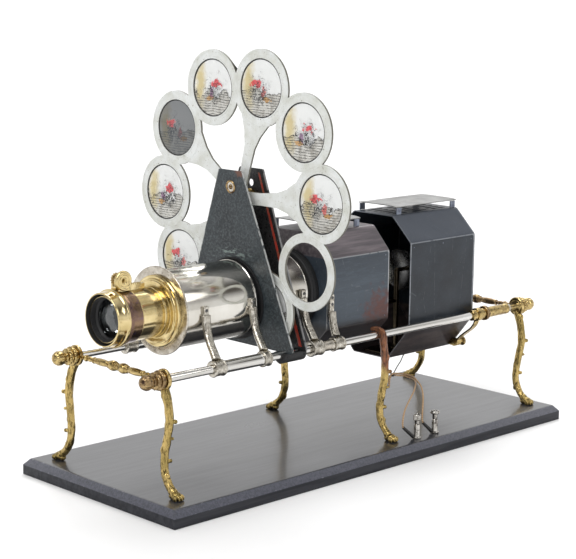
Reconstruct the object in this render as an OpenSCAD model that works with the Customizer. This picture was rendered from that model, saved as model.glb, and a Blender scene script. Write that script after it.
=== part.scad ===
// Magic lantern on a pair of rails: lens, slide wheel, condenser and lamphouse.
// Millimetres. +X runs from the lens to the lamphouse, -Y is the focus-knob side,
// +Z is up, and the origin is under the middle of the whole object.

/* [Baseboard] */
// Length of the wooden board
board_length = 750; // [740:1:760]
// Width of the wooden board
board_width = 306; // [300:1:320]
// Thickness of the wooden board
board_thick = 21.5; // [19:0.5:24]
// Bevel along the board's top edge
board_bevel = 7.7; // [4:0.1:9]

/* [Rails and legs] */
// Height of the rails' centre lines above the table
rail_height = 165; // [163:1:167]
// Half the distance between the two rails
rail_offset = 87; // [86:0.5:88]
// Radius of a rail
rail_r = 5.4; // [5.2:0.1:5.5]
// Place of the front legs along the rails
front_leg_x = -341; // [-342:1:-339]
// Place of the middle legs along the rails
middle_leg_x = 44; // [40:1:50]
// Place of the rear legs along the rails
rear_leg_x = 343; // [341:1:345]
// Distance of a foot from the middle of the board
foot_offset = 121; // [118:1:124]

/* [Lens] */
// Height of the light's path above the table
axis_z = 228; // [227:0.5:229]
// Front edge of the lens hood
hood_front_x = -366.7; // [-368:0.1:-365]
// Outer radius of the nickel lens tube
tube_r = 51; // [50:0.5:51.5]
// Length of the nickel lens tube
tube_length = 122; // [110:1:122]
// Outer radius of the brass jacket
jacket_r = 32.6; // [32.4:0.1:33]
// Number of teeth on the focus pinion
pinion_teeth = 15; // [13:1:15]
// Radius of the focus knob
knob_r = 12.5; // [11:0.5:13]

/* [Slide stage and wheel] */
// Middle plane of the slide wheel
wheel_x = -137; // [-137.2:0.1:-136.8]
// Height of the wheel's pivot
wheel_z = 360; // [360:0.5:364]
// Distance from the wheel's pivot to the middle of each slide
wheel_r = 150; // [149:0.5:151]
// Outer radius of a slide ring
ring_r = 50; // [49:0.5:50]
// Radius of the round glass slides
slide_r = 38; // [36:0.5:39]
// Thickness of the wheel's sheet metal
wheel_thick = 3; // [2.5:0.1:3]
// Angle of the first spoke from upright at rest
wheel_turn = 15.3; // [0:0.1:36]
// Height of the top edge of the stage plates
stage_top_z = 398; // [396:1:402]
// Half the width of a stage plate at its top edge
stage_top_w = 22.5; // [20:0.5:24]
// Half the width of a stage plate at its foot
stage_foot_w = 107; // [104:1:110]

/* [Lamphouse] */
// Front end of the front casing
front_house_x = -43; // [-43.5:0.1:-42.5]
// Length of the front casing
front_house_length = 121; // [115:1:121]
// Front end of the rear casing
rear_house_x = 119; // [118:0.5:120]
// Length of the rear casing
rear_house_length = 137.5; // [135:0.5:137.5]
// Thickness of the casings' sheet metal
sheet = 1.2; // [1:0.1:1.4]
// Radius of the condenser drum
drum_r = 50; // [49:0.5:50]
// Radius of the lamp's round bulb
bulb_r = 21; // [18:1:22]

/* [Binding posts] */
// Radius of a binding post's column
post_r = 4.3; // [4:0.1:4.6]
// Radius of the wire hole through a post
post_hole_r = 1.7; // [1.5:0.1:1.8]

/* [Hidden] */
$fn = 64;
running = 0.06;
rail_bore_r = rail_r + 0.08;
spigot_r = 4;
spigot_length = 12;
disc_r = 13.5;
disc_thick = 7;
leg_r = 5.4;
paw_r = 6.5;
foot_shift = 6;
bar_socket = 3.5;
bar_end_r = 3;
board_x = -380;
stage_shoe_r = 11;
stage_bottom_z = rail_height + 3;
stage_lean = 3.3;
stage_front_x = -141.5;
stage_rear_x = -118;
screw_z = 376;
plate_thick = 2.5;
front_plate_thick = 2;
hub_r = 14;
ring_count = 10;
stud_r = 6;
tube_rear_x = -152.5;
tube_front_x = tube_rear_x - tube_length;
flange_thick = 2.7;
jacket_front_x = -326;
ring_front_x = -348;
barrel_r = 29.4;
gear_module = 1;
pitch_r = gear_module * pinion_teeth / 2;
pinion_x = -342;
pinion_z = 276;
rack_pitch_z = pinion_z - pitch_r;
arm_lean = 10;
lens_collars = [[-254, 18], [-173, 12]];
condenser_collars = [[-82, 20], [-40.5, 19]];
collar_r = 11;
drum_front_x = -104;
drum_length = 47;
front_outline = [[-40, 308], [-70, 276], [-70, 180], [-40, 148], [40, 148], [70, 180], [70, 276], [40, 308]];
rear_outline = [[-37, 316], [-73, 281], [-73, 159], [-33, 110], [33, 110], [73, 159], [73, 281], [37, 316]];
rear_end_x = rear_house_x + rear_house_length;
slider_x = 237;
slider_length = 81;
slider_r = 7.7;
clamp_ring_x = 264;
bracket_x = 246;
bracket_width = 10;
thumbscrew_y = 50;
thumbscrew_z = 118;
lamp_x = 135;
lamp_post_x = 172;
reflector_gap = 17;
posts = [[76, -130, 47, 9, 4.8], [115, -128.5, 49.5, 4, 6.5]];
wire_r = 1.1;
lead_r = 0.75;
tie_at = [100, -60, 93];
lead_exit = [166, -24, 109];
wire_a_route = [[53, -125, 40], [52, -125, 46], [56, -123, 57], [64, -120, 66], [76, -116, 74],
    [90, -110, 81], [103, -102, 87], [111, -94, 90], [115, -86, 91], [117, -78, 91], [116, -70, 92],
    [111, -64, 92.5], [105, -61, 93.5], [99, -60, 93.5], [96, -60, 90], [95, -60, 84], [95, -60, 77]];
wire_b_route = [[95, -124, 39], [94, -123.5, 45], [96, -122, 55], [100, -119, 66], [104, -115, 76],
    [108, -109, 83], [111, -103, 87], [113, -96, 90], [116, -88, 93], [119, -79, 93.5], [118, -71, 94],
    [113, -64.5, 95], [106, -61.5, 96], [98, -61.5, 96], [93.5, -61.5, 92.5], [92.5, -61.5, 86],
    [92.5, -61.5, 80]];
lead_route = [lead_exit, [158, -28, 107], [146, -35, 103], [130, -43, 99], [116, -51, 96], [104, -58, 94.5]];
sleeve_feet = [[71, -128.5, 24], [110, -127.5, 24.5]];
sleeve_tops = [wire_a_route[0], wire_b_route[0]];

// ---- helpers ----

// A shape drawn in (y, z) and extruded by its height along +X, from x
module along_x(x) {
    translate([x, 0, 0]) rotate([90, 0, 90]) children();
}

// A cylinder along +X
module rod_x(x, y, z, length, r) {
    translate([x, y, z]) rotate([0, 90, 0]) cylinder(h = length, r = r);
}

// A cylinder along +Y
module rod_y(x, y, z, length, r) {
    translate([x, y, z]) rotate([-90, 0, 0]) cylinder(h = length, r = r);
}

// A turned piece around a line along X: points are [radius, distance along +X]
module turned_x(x, y, z, points) {
    translate([x, y, z]) rotate([0, 90, 0]) rotate_extrude() polygon(points);
}

// A turned piece around a line along Y: points are [radius, distance along +Y]
module turned_y(x, y, z, points) {
    translate([x, y, z]) rotate([-90, 0, 0]) rotate_extrude() polygon(points);
}

// Points of a round bead on a turned outline
function bead(at, length, low_r, high_r, steps = 6) =
    [for (i = [0 : steps]) let (a = 180 * i / steps)
        [low_r + (high_r - low_r) * sin(a), at + length * (1 - cos(a)) / 2]];

// A smooth curve through the given points
function blend_point(a, b, c, d, t) =
    0.5 * (2 * b + (c - a) * t + (2 * a - 5 * b + 4 * c - d) * t * t + (3 * b - a - 3 * c + d) * t * t * t);
function smooth(p, n) = concat(
    [for (i = [0 : len(p) - 2]) for (j = [0 : n - 1])
        blend_point(p[max(i - 1, 0)], p[i], p[i + 1], p[min(i + 2, len(p) - 1)], j / n)],
    [p[len(p) - 1]]);

function unit(v) = v / norm(v);
function tangent(p, i) = unit(p[min(i + 1, len(p) - 1)] - p[max(i - 1, 0)]);

// A tube swept along a path, with a radius at each point; side is never along the path
module sweep(path, radii, side, sides = 8) {
    count = len(path);
    points = [for (i = [0 : count - 1])
        let (u = unit(side - (side * tangent(path, i)) * tangent(path, i)), v = cross(tangent(path, i), u))
        for (k = [0 : sides - 1])
            path[i] + radii[i] * (cos(360 * k / sides) * u + sin(360 * k / sides) * v)];
    walls = [for (i = [0 : count - 2]) for (k = [0 : sides - 1])
        let (a = i * sides + k, b = i * sides + (k + 1) % sides)
        each [[a, b + sides, b], [a, a + sides, b + sides]]];
    start = [for (k = [0 : sides - 1]) k];
    end = [for (k = [sides - 1 : -1 : 0]) (count - 1) * sides + k];
    polyhedron(points = points, faces = concat([start], walls, [end]));
}

// A flat band of even thickness along a path drawn in (y, z)
function band(p, thick) = concat(
    [for (i = [0 : len(p) - 1]) p[i] + [-tangent(p, i)[1], tangent(p, i)[0]] * thick / 2],
    [for (i = [len(p) - 1 : -1 : 0]) p[i] - [-tangent(p, i)[1], tangent(p, i)[0]] * thick / 2]);

// ---- board, legs and rails ----

module baseboard() {
    half = board_width / 2;
    color([0.07, 0.07, 0.08]) hull() {
        translate([board_x, -half, 0]) cube([board_length, board_width, board_thick - board_bevel]);
        translate([board_x + board_bevel, board_bevel - half, 0])
            cube([board_length - 2 * board_bevel, board_width - 2 * board_bevel, board_thick]);
    }
}

// A cast twig leg; x is its place, side is -1 near or 1 far, and an eye holds the rail
module leg(x, side, eye_r, eye_thick, bore_r) {
    spine = [[87, 158], [95, 141], [100, 117], [97, 94], [93.5, 72], [94.5, 52], [104, 36], [114, 29]];
    top = spine[0][1];
    lean = foot_shift / (top - board_thick);
    path = smooth([for (p = spine) [x - lean * (top - p[1]), side * p[0], p[1]]], 3);
    radii = [for (i = [0 : len(path) - 1]) leg_r + 0.5 * sin(29 * i) - 0.4 * i / len(path)];
    difference() {
        union() {
            rod_x(x - eye_thick / 2, side * rail_offset, rail_height, eye_thick, eye_r);
            sweep(path, radii, [1, 0, 0]);
            translate([x - 2.5, side * 105, 112]) sphere(r = 3.4, $fn = 24);
            translate([x - 5, side * 100, 62]) sphere(r = 3.2, $fn = 24);
            hull() for (p = [[111, 32], [foot_offset, 28.5]])
                translate([x - foot_shift, side * p[0], p[1]]) sphere(r = paw_r, $fn = 20);
            translate([x - foot_shift, side * foot_offset, board_thick]) cylinder(h = 4, r = 5.5);
        }
        rod_x(x - eye_thick, side * rail_offset, rail_height, eye_thick * 2, bore_r);
    }
}

// A leg at the end of the rails, with a socket for the cross-bar
module end_leg(x, side) {
    socket_y = side > 0 ? rail_offset - disc_r - 1 : disc_r - rail_offset + 1 - bar_socket;
    color([0.78, 0.62, 0.3]) difference() {
        leg(x, side, disc_r, disc_thick, spigot_r);
        for (start = [x - disc_thick / 2 - leg_r, x + disc_thick / 2])
            rod_x(start, side * rail_offset, rail_height, leg_r, disc_r);
        rod_y(x, socket_y, rail_height, bar_socket, bar_end_r);
    }
}

module middle_leg(side) {
    color([0.66, 0.48, 0.26]) leg(middle_leg_x, side, 9.5, 9, rail_r);
}

module rail(side) {
    front = front_leg_x + disc_thick / 2;
    length = rear_leg_x - front_leg_x - disc_thick;
    reach = disc_thick + spigot_length;
    color([0.82, 0.81, 0.78]) union() {
        rod_x(front, side * rail_offset, rail_height, length, rail_r);
        rod_x(front - reach, side * rail_offset, rail_height, length + 2 * reach, spigot_r);
    }
}

// Turned end knobs that screw onto the rails' ends
module finials() {
    knob = concat([[spigot_r, 0], [8, 0]], bead(1.5, 6, 9.5, 13), bead(8.5, 4, 8, 11), [[6, 15], [6, 17]],
        [for (i = [1 : 6]) [9.2 * sin(18 + 20 * i), 21.5 - 7 * cos(18 + 20 * i) + 0.75 * i]],
        [[2.4, 33], [0, 33.5], [0, spigot_length], [spigot_r, spigot_length]]);
    color([0.7, 0.55, 0.28]) for (side = [-1, 1]) {
        translate([rear_leg_x + disc_thick / 2, side * rail_offset, rail_height])
            rotate([0, 90, 0]) rotate_extrude() polygon(knob);
        translate([front_leg_x - disc_thick / 2, side * rail_offset, rail_height])
            rotate([0, -90, 0]) rotate_extrude() polygon(knob);
    }
}

// Turned spindles between the two front legs and the two rear legs
module cross_bars() {
    reach = rail_offset - disc_r - 1 + bar_socket;
    half = concat([[0, 0], [5, 0], [4.8, 2.5]], bead(3.5, 13, 4.6, 6.6),
        [[5, 18], [4.6, 22], [3.4, 44], [2.6, 58], [2.6, 62]], bead(62.5, 5, 2.8, 4),
        [[bar_end_r, 69], [bar_end_r, reach], [0, reach]]);
    color([0.74, 0.58, 0.3]) for (x = [front_leg_x, rear_leg_x]) {
        turned_y(x, 0, rail_height, half);
        mirror([0, 1, 0]) turned_y(x, 0, rail_height, half);
    }
}

// ---- binding posts ----

module binding_post(p) {
    color([0.75, 0.75, 0.74]) difference() {
        translate([p[0], p[1], board_thick]) union() {
            cylinder(h = 3, r = 6);
            cylinder(h = 20.5, r = post_r);
            cylinder(h = p[2] + p[3] - 0.5 - board_thick, r = 2.5);
        }
        rod_x(p[0] - 10, p[1], 36, 20, post_hole_r);
    }
}

// Knurled nut on top of a post
module binding_nut(p) {
    color([0.72, 0.72, 0.7]) difference() {
        translate([p[0], p[1], 0]) union() {
            translate([0, 0, 42.4]) cylinder(h = p[2] - 42.4, r = 3.6);
            translate([0, 0, p[2]]) cylinder(h = p[3], r = p[4]);
        }
        translate([p[0], p[1], 40]) cylinder(h = 40, r = 2.5 + running);
    }
}

// ---- slide stage ----

stage_outline = [[-stage_top_w, stage_top_z], [-stage_foot_w, 172], [-stage_foot_w + 3, stage_bottom_z - 3],
    [stage_foot_w - 3, stage_bottom_z - 3], [stage_foot_w, 172], [stage_top_w, stage_top_z]];

module rail_notches(x, length) {
    for (side = [-1, 1]) rod_x(x, side * rail_offset, rail_height, length, rail_r);
}

// Anything that stands in the front plate's leaning plane
module leaning() {
    translate([stage_front_x, 0, rail_height]) rotate([0, -stage_lean, 0])
        translate([0, 0, -rail_height]) children();
}

module stage_front_plate() {
    color([0.1, 0.11, 0.12]) difference() {
        leaning() difference() {
            along_x(0) linear_extrude(front_plate_thick) polygon(stage_outline);
            rod_x(-5, 0, axis_z, 10, 40);
            rod_x(-5, 0, screw_z, 10, 3);
        }
        translate([-170, -150, stage_bottom_z - 20]) cube([60, 300, 20]);
        rail_notches(-160, 40);
    }
}

module stage_rear_plate() {
    color([0.1, 0.1, 0.11]) difference() {
        along_x(stage_rear_x) linear_extrude(plate_thick) polygon(stage_outline);
        rod_x(stage_rear_x - 1, 0, axis_z, 10, 44);
        rod_x(stage_rear_x - 1, 0, screw_z + 2.6, 10, 4.8);
        rod_x(stage_rear_x - 1, 0, wheel_z, 10, 3.5);
        translate([-130, -150, stage_bottom_z - 20]) cube([30, 300, 20]);
        rail_notches(-130, 30);
    }
}

// Saddles that carry both plates on the rails
module stage_shoes() {
    color([0.2, 0.2, 0.2]) for (side = [-1, 1]) difference() {
        rod_x(-146, side * rail_offset, rail_height, 38, stage_shoe_r);
        rod_x(-150, side * rail_offset, rail_height, 50, rail_r);
        translate([-160, side * rail_offset - 20, stage_bottom_z]) cube([60, 40, 30]);
    }
}

module stage_collar() {
    color([0.04, 0.04, 0.04]) leaning() difference() {
        rod_x(-2.5, 0, axis_z, 2.5, 55);
        rod_x(-5, 0, axis_z, 10, 42);
    }
}

// Brass screw and eyelet at the top of the front plate
module pivot_screw() {
    rim = [for (i = [0 : 6]) [7.5 + 1.3 * cos(30 * i), -1.6 * sin(30 * i)]];
    color([0.72, 0.6, 0.36]) leaning() union() {
        turned_x(0, 0, screw_z, concat([[6.2, 0]], rim, [[6.2, 0]]));
        rod_x(-0.8, 0, screw_z, 0.8, 6.4);
        rod_x(-2, 0, screw_z, 2, 4);
        rod_x(-1, 0, screw_z, 5, 3);
    }
}

module wheel_stud() {
    color([0.7, 0.58, 0.34]) union() {
        rod_x(wheel_x - 8.5, 0, wheel_z, stage_rear_x - wheel_x + 8.5, stud_r);
        rod_x(wheel_x - 8.5, 0, wheel_z, 2.5, 9);
        rod_x(wheel_x + 6, 0, wheel_z, 3, 10);
        rod_x(stage_rear_x - 3, 0, wheel_z, 3, 11);
        rod_x(stage_rear_x, 0, wheel_z, 6, 3.5);
        rod_x(stage_rear_x + plate_thick, 0, wheel_z, 4, 6.5);
    }
}

// ---- slide wheel ----

module at_ring(k) {
    translate([wheel_x, 0, wheel_z]) rotate([wheel_turn + 360 / ring_count * k, 0, 0])
        translate([0, 0, wheel_r]) children();
}

module slide_wheel() {
    spoke = [[-9, 4], [-8, 40], [-9.5, 70], [-15, 88], [-26, 108],
        [26, 108], [15, 88], [9.5, 70], [8, 40], [9, 4]];
    front = -wheel_thick / 2;
    color([0.82, 0.83, 0.78]) difference() {
        union() {
            for (k = [0 : ring_count - 1]) at_ring(k) rod_x(front, 0, 0, wheel_thick, ring_r);
            for (k = [0 : 2 : ring_count - 1]) at_ring(k)
                translate([front, 0, -wheel_r]) rotate([90, 0, 90])
                    linear_extrude(wheel_thick) polygon(spoke);
            rod_x(wheel_x - 5.7, 0, wheel_z, 11.4, hub_r);
        }
        for (k = [0 : ring_count - 1]) at_ring(k) rod_x(-10, 0, 0, 20, slide_r);
        rod_x(wheel_x - 20, 0, wheel_z, 40, stud_r + running);
    }
}

// Painted round glasses; the ring after the third spoke on the near side is empty
module slides() {
    empty_ring = 3;
    color([0.85, 0.83, 0.78, 0.6]) for (k = [0 : ring_count - 1])
        if (k != empty_ring) at_ring(k) rod_x(-1, 0, 0, 2, slide_r);
}

// ---- lens ----

module lens_tube() {
    outline = [[43, -flange_thick], [57, -flange_thick], [57, 0], [tube_r, 0], [tube_r, tube_length],
        [tube_r - 1.5, tube_length], [tube_r - 1.5, 0], [43, 0]];
    color([0.8, 0.79, 0.75]) turned_x(tube_front_x, 0, axis_z, outline);
}

module lens_flange() {
    front = tube_front_x - flange_thick;
    outline = [[jacket_r, -8], [40, -8], [42, -7], [42, -4.5], [45, -4.5], [46, -3.5], [46, 0], [43, 0],
        [43, 6], [jacket_r, 6]];
    color([0.8, 0.6, 0.25]) turned_x(front, 0, axis_z, outline);
}

// Fixed brass jacket; a slot along its top lets the rack through
module lens_jacket() {
    bore = barrel_r + running;
    outline = [[bore, ring_front_x], [35.3, ring_front_x], [35.3, -343], [34, -342],
        [33.2, jacket_front_x - 1], [jacket_r, jacket_front_x], [jacket_r, -262], [bore, -262]];
    color([0.85, 0.66, 0.3]) difference() {
        turned_x(0, 0, axis_z, outline);
        translate([ring_front_x - 1, -3.5, axis_z + 20]) cube([49, 7, 30]);
    }
}

// Two cheeks and a lid around the pinion
module pinion_box() {
    color([0.7, 0.55, 0.26]) difference() {
        union() {
            for (y = [-7.5, 4.2]) {
                translate([-346, y, axis_z + 33.5]) cube([20, 3.3, pinion_z - axis_z - 33.5]);
                rod_y(pinion_x, y, pinion_z, 3.3, 4);
                translate([-334, y, pinion_z - 4]) cube([8, 3.3, 14]);
            }
            translate([-334, -7.5, pinion_z + 8.6]) cube([8, 15, 1.4]);
        }
        rod_x(-400, 0, axis_z, 100, 35.3);
        rod_y(pinion_x, -10, pinion_z, 20, 2 + running);
    }
}

// One carriage arm on the near side: a collar on the rail, a bent stem and a pad on the drum
module drum_arm(collar, target_r, side) {
    x = collar[0];
    width = collar[1];
    stem = smooth([[x, side * 86, 172], [x + 2, side * 79, 182], [x + 5, side * 69, 191],
        [x + 8, side * 60, 203], [x + arm_lean, side * 55.5, 216], [x + arm_lean, side * 54.5, 226]], 2);
    color([0.74, 0.72, 0.66]) difference() {
        union() {
            rod_x(x - width / 2, side * rail_offset, rail_height, width, collar_r);
            sweep(stem, [for (p = stem) 4.2], [1, 0, 0]);
            translate([x + arm_lean - 4.5, side > 0 ? 44 : -56, 214]) cube([9, 12, 24]);
            for (z = [223, 232]) rod_y(x + arm_lean, side > 0 ? 55 : -57.5, z, 2.5, 2.6);
        }
        rod_x(-400, 0, axis_z, 800, target_r);
        rod_x(x - width, side * rail_offset, rail_height, 2 * width, rail_bore_r);
    }
}

// One arm that holds the front casing by its side panel
module house_arm(collar, side) {
    x = collar[0];
    width = collar[1];
    stem = smooth([[x, side * 86, 172], [x + 1, side * 80, 184], [x + 2, side * 76, 196],
        [x + 3, side * 74.5, 210]], 2);
    color([0.74, 0.72, 0.66]) difference() {
        union() {
            rod_x(x - width / 2, side * rail_offset, rail_height, width, collar_r - 1);
            sweep(stem, [for (p = stem) 4.2], [1, 0, 0]);
            translate([x - 1.5, side > 0 ? 70 : -75, 200]) cube([9, 5, 30]);
            for (z = [216, 225]) rod_y(x + 3, side > 0 ? 75 : -77.5, z, 2.5, 2.4);
        }
        translate([-200, -70, 100]) cube([400, 140, 250]);
        rod_x(x - width, side * rail_offset, rail_height, 2 * width, rail_bore_r);
    }
}

module sleeve(first, second, side, r) {
    start = first[0] + first[1] / 2;
    length = second[0] - second[1] / 2 - start;
    difference() {
        rod_x(start, side * rail_offset, rail_height, length, r);
        rod_x(start - 1, side * rail_offset, rail_height, length + 2, rail_bore_r);
    }
}

module lens_arms(side) {
    for (collar = lens_collars) drum_arm(collar, tube_r, side);
}

module lens_sleeves() {
    color([0.8, 0.79, 0.76]) for (side = [-1, 1]) sleeve(lens_collars[0], lens_collars[1], side, 8.4);
}

// Sliding brass tube with stops inside
module objective_barrel() {
    outline = [[27.5, -363], [barrel_r, -363], [barrel_r, -268], [27.5, -268], [27.5, -276], [26, -276],
        [26, -278], [27.5, -278], [27.5, -351], [25, -351], [25, -353], [27.5, -353]];
    color([0.25, 0.2, 0.12]) turned_x(0, 0, axis_z, outline);
}

module lens_hood() {
    outline = [[32, 0], [33.8, 0], [34.4, 10], [35.6, 13.5], [37, 14.5], [37, 17.3], [36, 18.5],
        [barrel_r, 18.5], [barrel_r, 3.7], [32, 3.7]];
    color([0.85, 0.66, 0.3]) turned_x(hood_front_x, 0, axis_z, outline);
}

// Toothed rack on top of the sliding barrel
module focus_rack() {
    rack_x = -347;
    rack_length = 46;
    root_z = rack_pitch_z - 1.25 * gear_module;
    pitch = PI * gear_module;
    color([0.75, 0.6, 0.3]) difference() {
        union() {
            translate([rack_x, -3, axis_z + 20]) cube([rack_length, 6, root_z - axis_z - 20]);
            for (k = [-1 : 11])
                translate([pinion_x + k * pitch, 3, root_z - 0.5]) rotate([90, 0, 0]) linear_extrude(6)
                    polygon([[-1.2, 0], [-1.05, 0.5], [-0.3, 2.1], [0.3, 2.1], [1.05, 0.5], [1.2, 0]]);
        }
        rod_x(-400, 0, axis_z, 200, barrel_r);
    }
}

// Front and rear glasses of the objective
module objective_lenses() {
    front = [[0, -3.5], [9, -2.9], [17, -1.2], [22, 1], [27.5, 1], [27.5, 5], [22, 5], [14, 7.2], [0, 8]];
    rear = [[0, -7], [14, -6], [22, -3], [26, -1.5], [26, 0], [27.5, 0], [27.5, 2], [24, 2], [12, 4],
        [0, 4.6]];
    color([0.7, 0.8, 0.85, 0.4]) {
        turned_x(-351, 0, axis_z, front);
        turned_x(-276, 0, axis_z, rear);
    }
}

module focus_pinion() {
    tooth = 360 / pinion_teeth;
    tooth_outline = [[5, -1.1], [6.3, -0.95], [7.5, -0.6], [8.35, -0.3], [8.35, 0.3], [7.5, 0.6],
        [6.3, 0.95], [5, 1.1]];
    color([0.7, 0.58, 0.32]) union() {
        rod_y(pinion_x, -16.4, pinion_z, 25.4, 2);
        translate([pinion_x, 3.5, pinion_z]) rotate([90, 0, 0]) linear_extrude(7) union() {
            circle(r = pitch_r - 1.3);
            for (k = [0 : pinion_teeth - 1]) rotate(-90 + tooth * (k + 0.5)) polygon(tooth_outline);
        }
    }
}

module focus_knob() {
    outline = [[2, 0], [knob_r - 2, 0], [knob_r, 1], [knob_r, 5], [knob_r - 1.5, 6.3], [7, 6.3],
        [6, 5.4], [2, 5.4]];
    color([0.8, 0.64, 0.32]) translate([pinion_x, -8.4, pinion_z]) rotate([90, 0, 0])
        rotate_extrude() polygon(outline);
}

// ---- condenser and front casing ----

module condenser_drum() {
    color([0.83, 0.82, 0.8]) turned_x(drum_front_x, 0, axis_z, [[46, 0], [drum_r, 0], [drum_r, drum_length],
        [drum_r - 2, drum_length], [drum_r - 2, 3], [46, 3]]);
}

module condenser_collar() {
    outline = [[44, 0], [53, 0], [55, 2], [55, 14], [44, 14]];
    color([0.06, 0.06, 0.06]) turned_x(drum_front_x + drum_length, 0, axis_z, outline);
}

// Two plano-convex condenser glasses, round sides together
module condenser_lenses() {
    rim = drum_r - 2.02;
    glass = [[0, 0], [rim, 0], [rim, 4], [44, 6.5], [34, 11], [20, 15], [0, 17]];
    color([0.72, 0.8, 0.84, 0.4]) {
        turned_x(drum_front_x + 3, 0, axis_z, glass);
        turned_x(drum_front_x + 44, 0, axis_z, [for (p = glass) [p[0], -p[1]]]);
    }
}

module condenser_arms(side) {
    drum_arm(condenser_collars[0], drum_r, side);
    house_arm(condenser_collars[1], side);
}

module condenser_sleeves() {
    color([0.7, 0.69, 0.66]) for (side = [-1, 1])
        sleeve(condenser_collars[0], condenser_collars[1], side, 7.6);
}

// The same outline drawn in by the sheet's thickness, around its middle
function drawn_in(outline, by) =
    [for (i = [0 : len(outline) - 1])
        let (a = outline[(i + len(outline) - 1) % len(outline)],
            b = outline[i],
            c = outline[(i + 1) % len(outline)],
            m = [-unit(b - a)[1], unit(b - a)[0]], n = [-unit(c - b)[1], unit(c - b)[0]])
        b + by * (m + n) / (1 + m * n)];

// Cover plate held above a casing's top on four bent brackets
module raised_cap(x_ends, y_half, top_z, feet_z) {
    union() {
        translate([x_ends[0], -y_half, top_z - 1.5]) cube([x_ends[1] - x_ends[0], 2 * y_half, 1.5]);
        for (x = [x_ends[0] + 2, x_ends[1] - 12]) for (side = [-1, 1])
            translate([x, side > 0 ? y_half - 2 : -y_half, feet_z]) cube([10, 2, top_z - feet_z]);
    }
}

module front_house() {
    color([0.13, 0.14, 0.15]) union() {
        along_x(front_house_x) linear_extrude(front_house_length) difference() {
            polygon(front_outline);
            polygon(drawn_in(front_outline, sheet));
        }
        along_x(front_house_x) difference() {
            linear_extrude(1.5) polygon(front_outline);
            translate([0, axis_z, -1]) cylinder(h = 5, r = 44);
        }
    }
}

module front_house_cap() {
    color([0.5, 0.5, 0.5]) raised_cap([-43, 53], 38, 322, 308);
}

module rear_house() {
    color([0.13, 0.14, 0.16]) difference() {
        along_x(rear_house_x) linear_extrude(rear_house_length) difference() {
            polygon(rear_outline);
            polygon(drawn_in(rear_outline, sheet));
        }
        for (y = [-24, -12, 0, 12, 24]) for (x = [134, 175, 216])
            translate([x, y - 2.5, 300]) cube([30, 5, 30]);
        translate([lead_exit[0], lead_exit[1], 100]) cylinder(h = 20, r = 3);
    }
}

module rear_house_cap() {
    color([0.55, 0.55, 0.56]) raised_cap([127, 257], 36, 329, 316);
}

module rear_panel() {
    color([0.12, 0.12, 0.13]) along_x(rear_end_x) linear_extrude(1.5) polygon(rear_outline);
}

// ---- rear carriage ----

module house_sliders() {
    color([0.8, 0.66, 0.36]) for (side = [-1, 1]) difference() {
        rod_x(slider_x, side * rail_offset, rail_height, slider_length, slider_r);
        rod_x(slider_x - 1, side * rail_offset, rail_height, slider_length + 2, rail_bore_r);
    }
}

// Where the rear casing's lower near panel is at a height z
function panel_y(z) = rear_outline[3][0] + (rear_outline[2][0] - rear_outline[3][0])
    * (z - rear_outline[3][1]) / (rear_outline[2][1] - rear_outline[3][1]);

// Bent brass straps from the sliders to the casing's lower panels
module house_brackets() {
    strap = band(smooth([[-87, 156], [-84.5, 150], [-78, 143], [-69, 136], [-60, 129], [-53, 121]], 3), 2.6);
    color([0.78, 0.62, 0.32]) for (side = [0, 1]) mirror([0, side, 0]) difference() {
        union() {
            rod_x(bracket_x, -rail_offset, rail_height, bracket_width, 9.6);
            along_x(bracket_x) linear_extrude(bracket_width) polygon(strap);
            along_x(bracket_x) linear_extrude(bracket_width)
                polygon([[-56, 123], [-54.5, 114], [-49, 112], [panel_y(114), 114], [panel_y(123), 123]]);
        }
        rod_x(bracket_x - 1, -rail_offset, rail_height, bracket_width + 2, slider_r);
        rod_x(bracket_x - 1, -thumbscrew_y, thumbscrew_z, bracket_width + 2, 2 + running);
    }
}

module clamp_ring(side) {
    color([0.5, 0.45, 0.32]) difference() {
        rod_x(clamp_ring_x, side * rail_offset, rail_height, 6, 10.6);
        rod_x(clamp_ring_x - 1, side * rail_offset, rail_height, 8, slider_r + running);
    }
}

module thumbscrew(side) {
    outline = [[0, 0], [2, 0], [2, 14.5], [3.6, 16], [3.6, 17], [6.2, 17.6], [6.6, 18.6], [6.6, 20.6],
        [5.4, 22], [0, 22]];
    color([0.82, 0.66, 0.34]) turned_x(bracket_x - 2, side * thumbscrew_y, thumbscrew_z, outline);
}

// ---- lamp ----

module lamp_stand() {
    floor_z = 110 + sheet;
    color([0.72, 0.6, 0.34]) union() {
        translate([132, -26, floor_z]) cube([90, 52, 2]);
        translate([lamp_post_x, 0, floor_z]) cylinder(h = 118, r = 4);
        rod_x(lamp_x, 0, 183, lamp_post_x - lamp_x, 3);
        translate([lamp_x, 0, 179]) cylinder(h = 9, r = 7);
        translate([lamp_x, 0, 188]) cylinder(h = 16, r = 11);
        rod_x(lamp_post_x, 0, axis_z, reflector_gap, 3);
    }
}

module lamp_bulb() {
    color([0.9, 0.9, 0.85, 0.5]) union() {
        translate([lamp_x, 0, axis_z - 2]) sphere(r = bulb_r);
        translate([lamp_x, 0, 204]) cylinder(h = 8, r = 9);
    }
}

// Dished mirror behind the lamp
module reflector() {
    outline = [[0, 0], [12, -1.2], [22, -4.5], [29, -9], [30, -8], [23, -2.6], [12, 1], [0, 2.2]];
    color([0.85, 0.85, 0.86]) turned_x(lamp_post_x + reflector_gap, 0, axis_z, outline);
}

// ---- wires ----

module wire(route, r) {
    path = smooth(route, 1);
    color([0.66, 0.5, 0.34]) sweep(path, [for (p = path) r], [0.3, 1, 0.25]);
}

// Black sleeves at the posts and the knot that hangs the wires from the lead
module wire_fittings() {
    color([0.05, 0.05, 0.05]) {
        for (i = [0, 1]) sweep([sleeve_feet[i], sleeve_tops[i]], [2.6, 2.2], [0, 1, 0.4]);
        translate(tie_at + [1, 0, 1]) sphere(r = 4, $fn = 16);
    }
}

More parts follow.
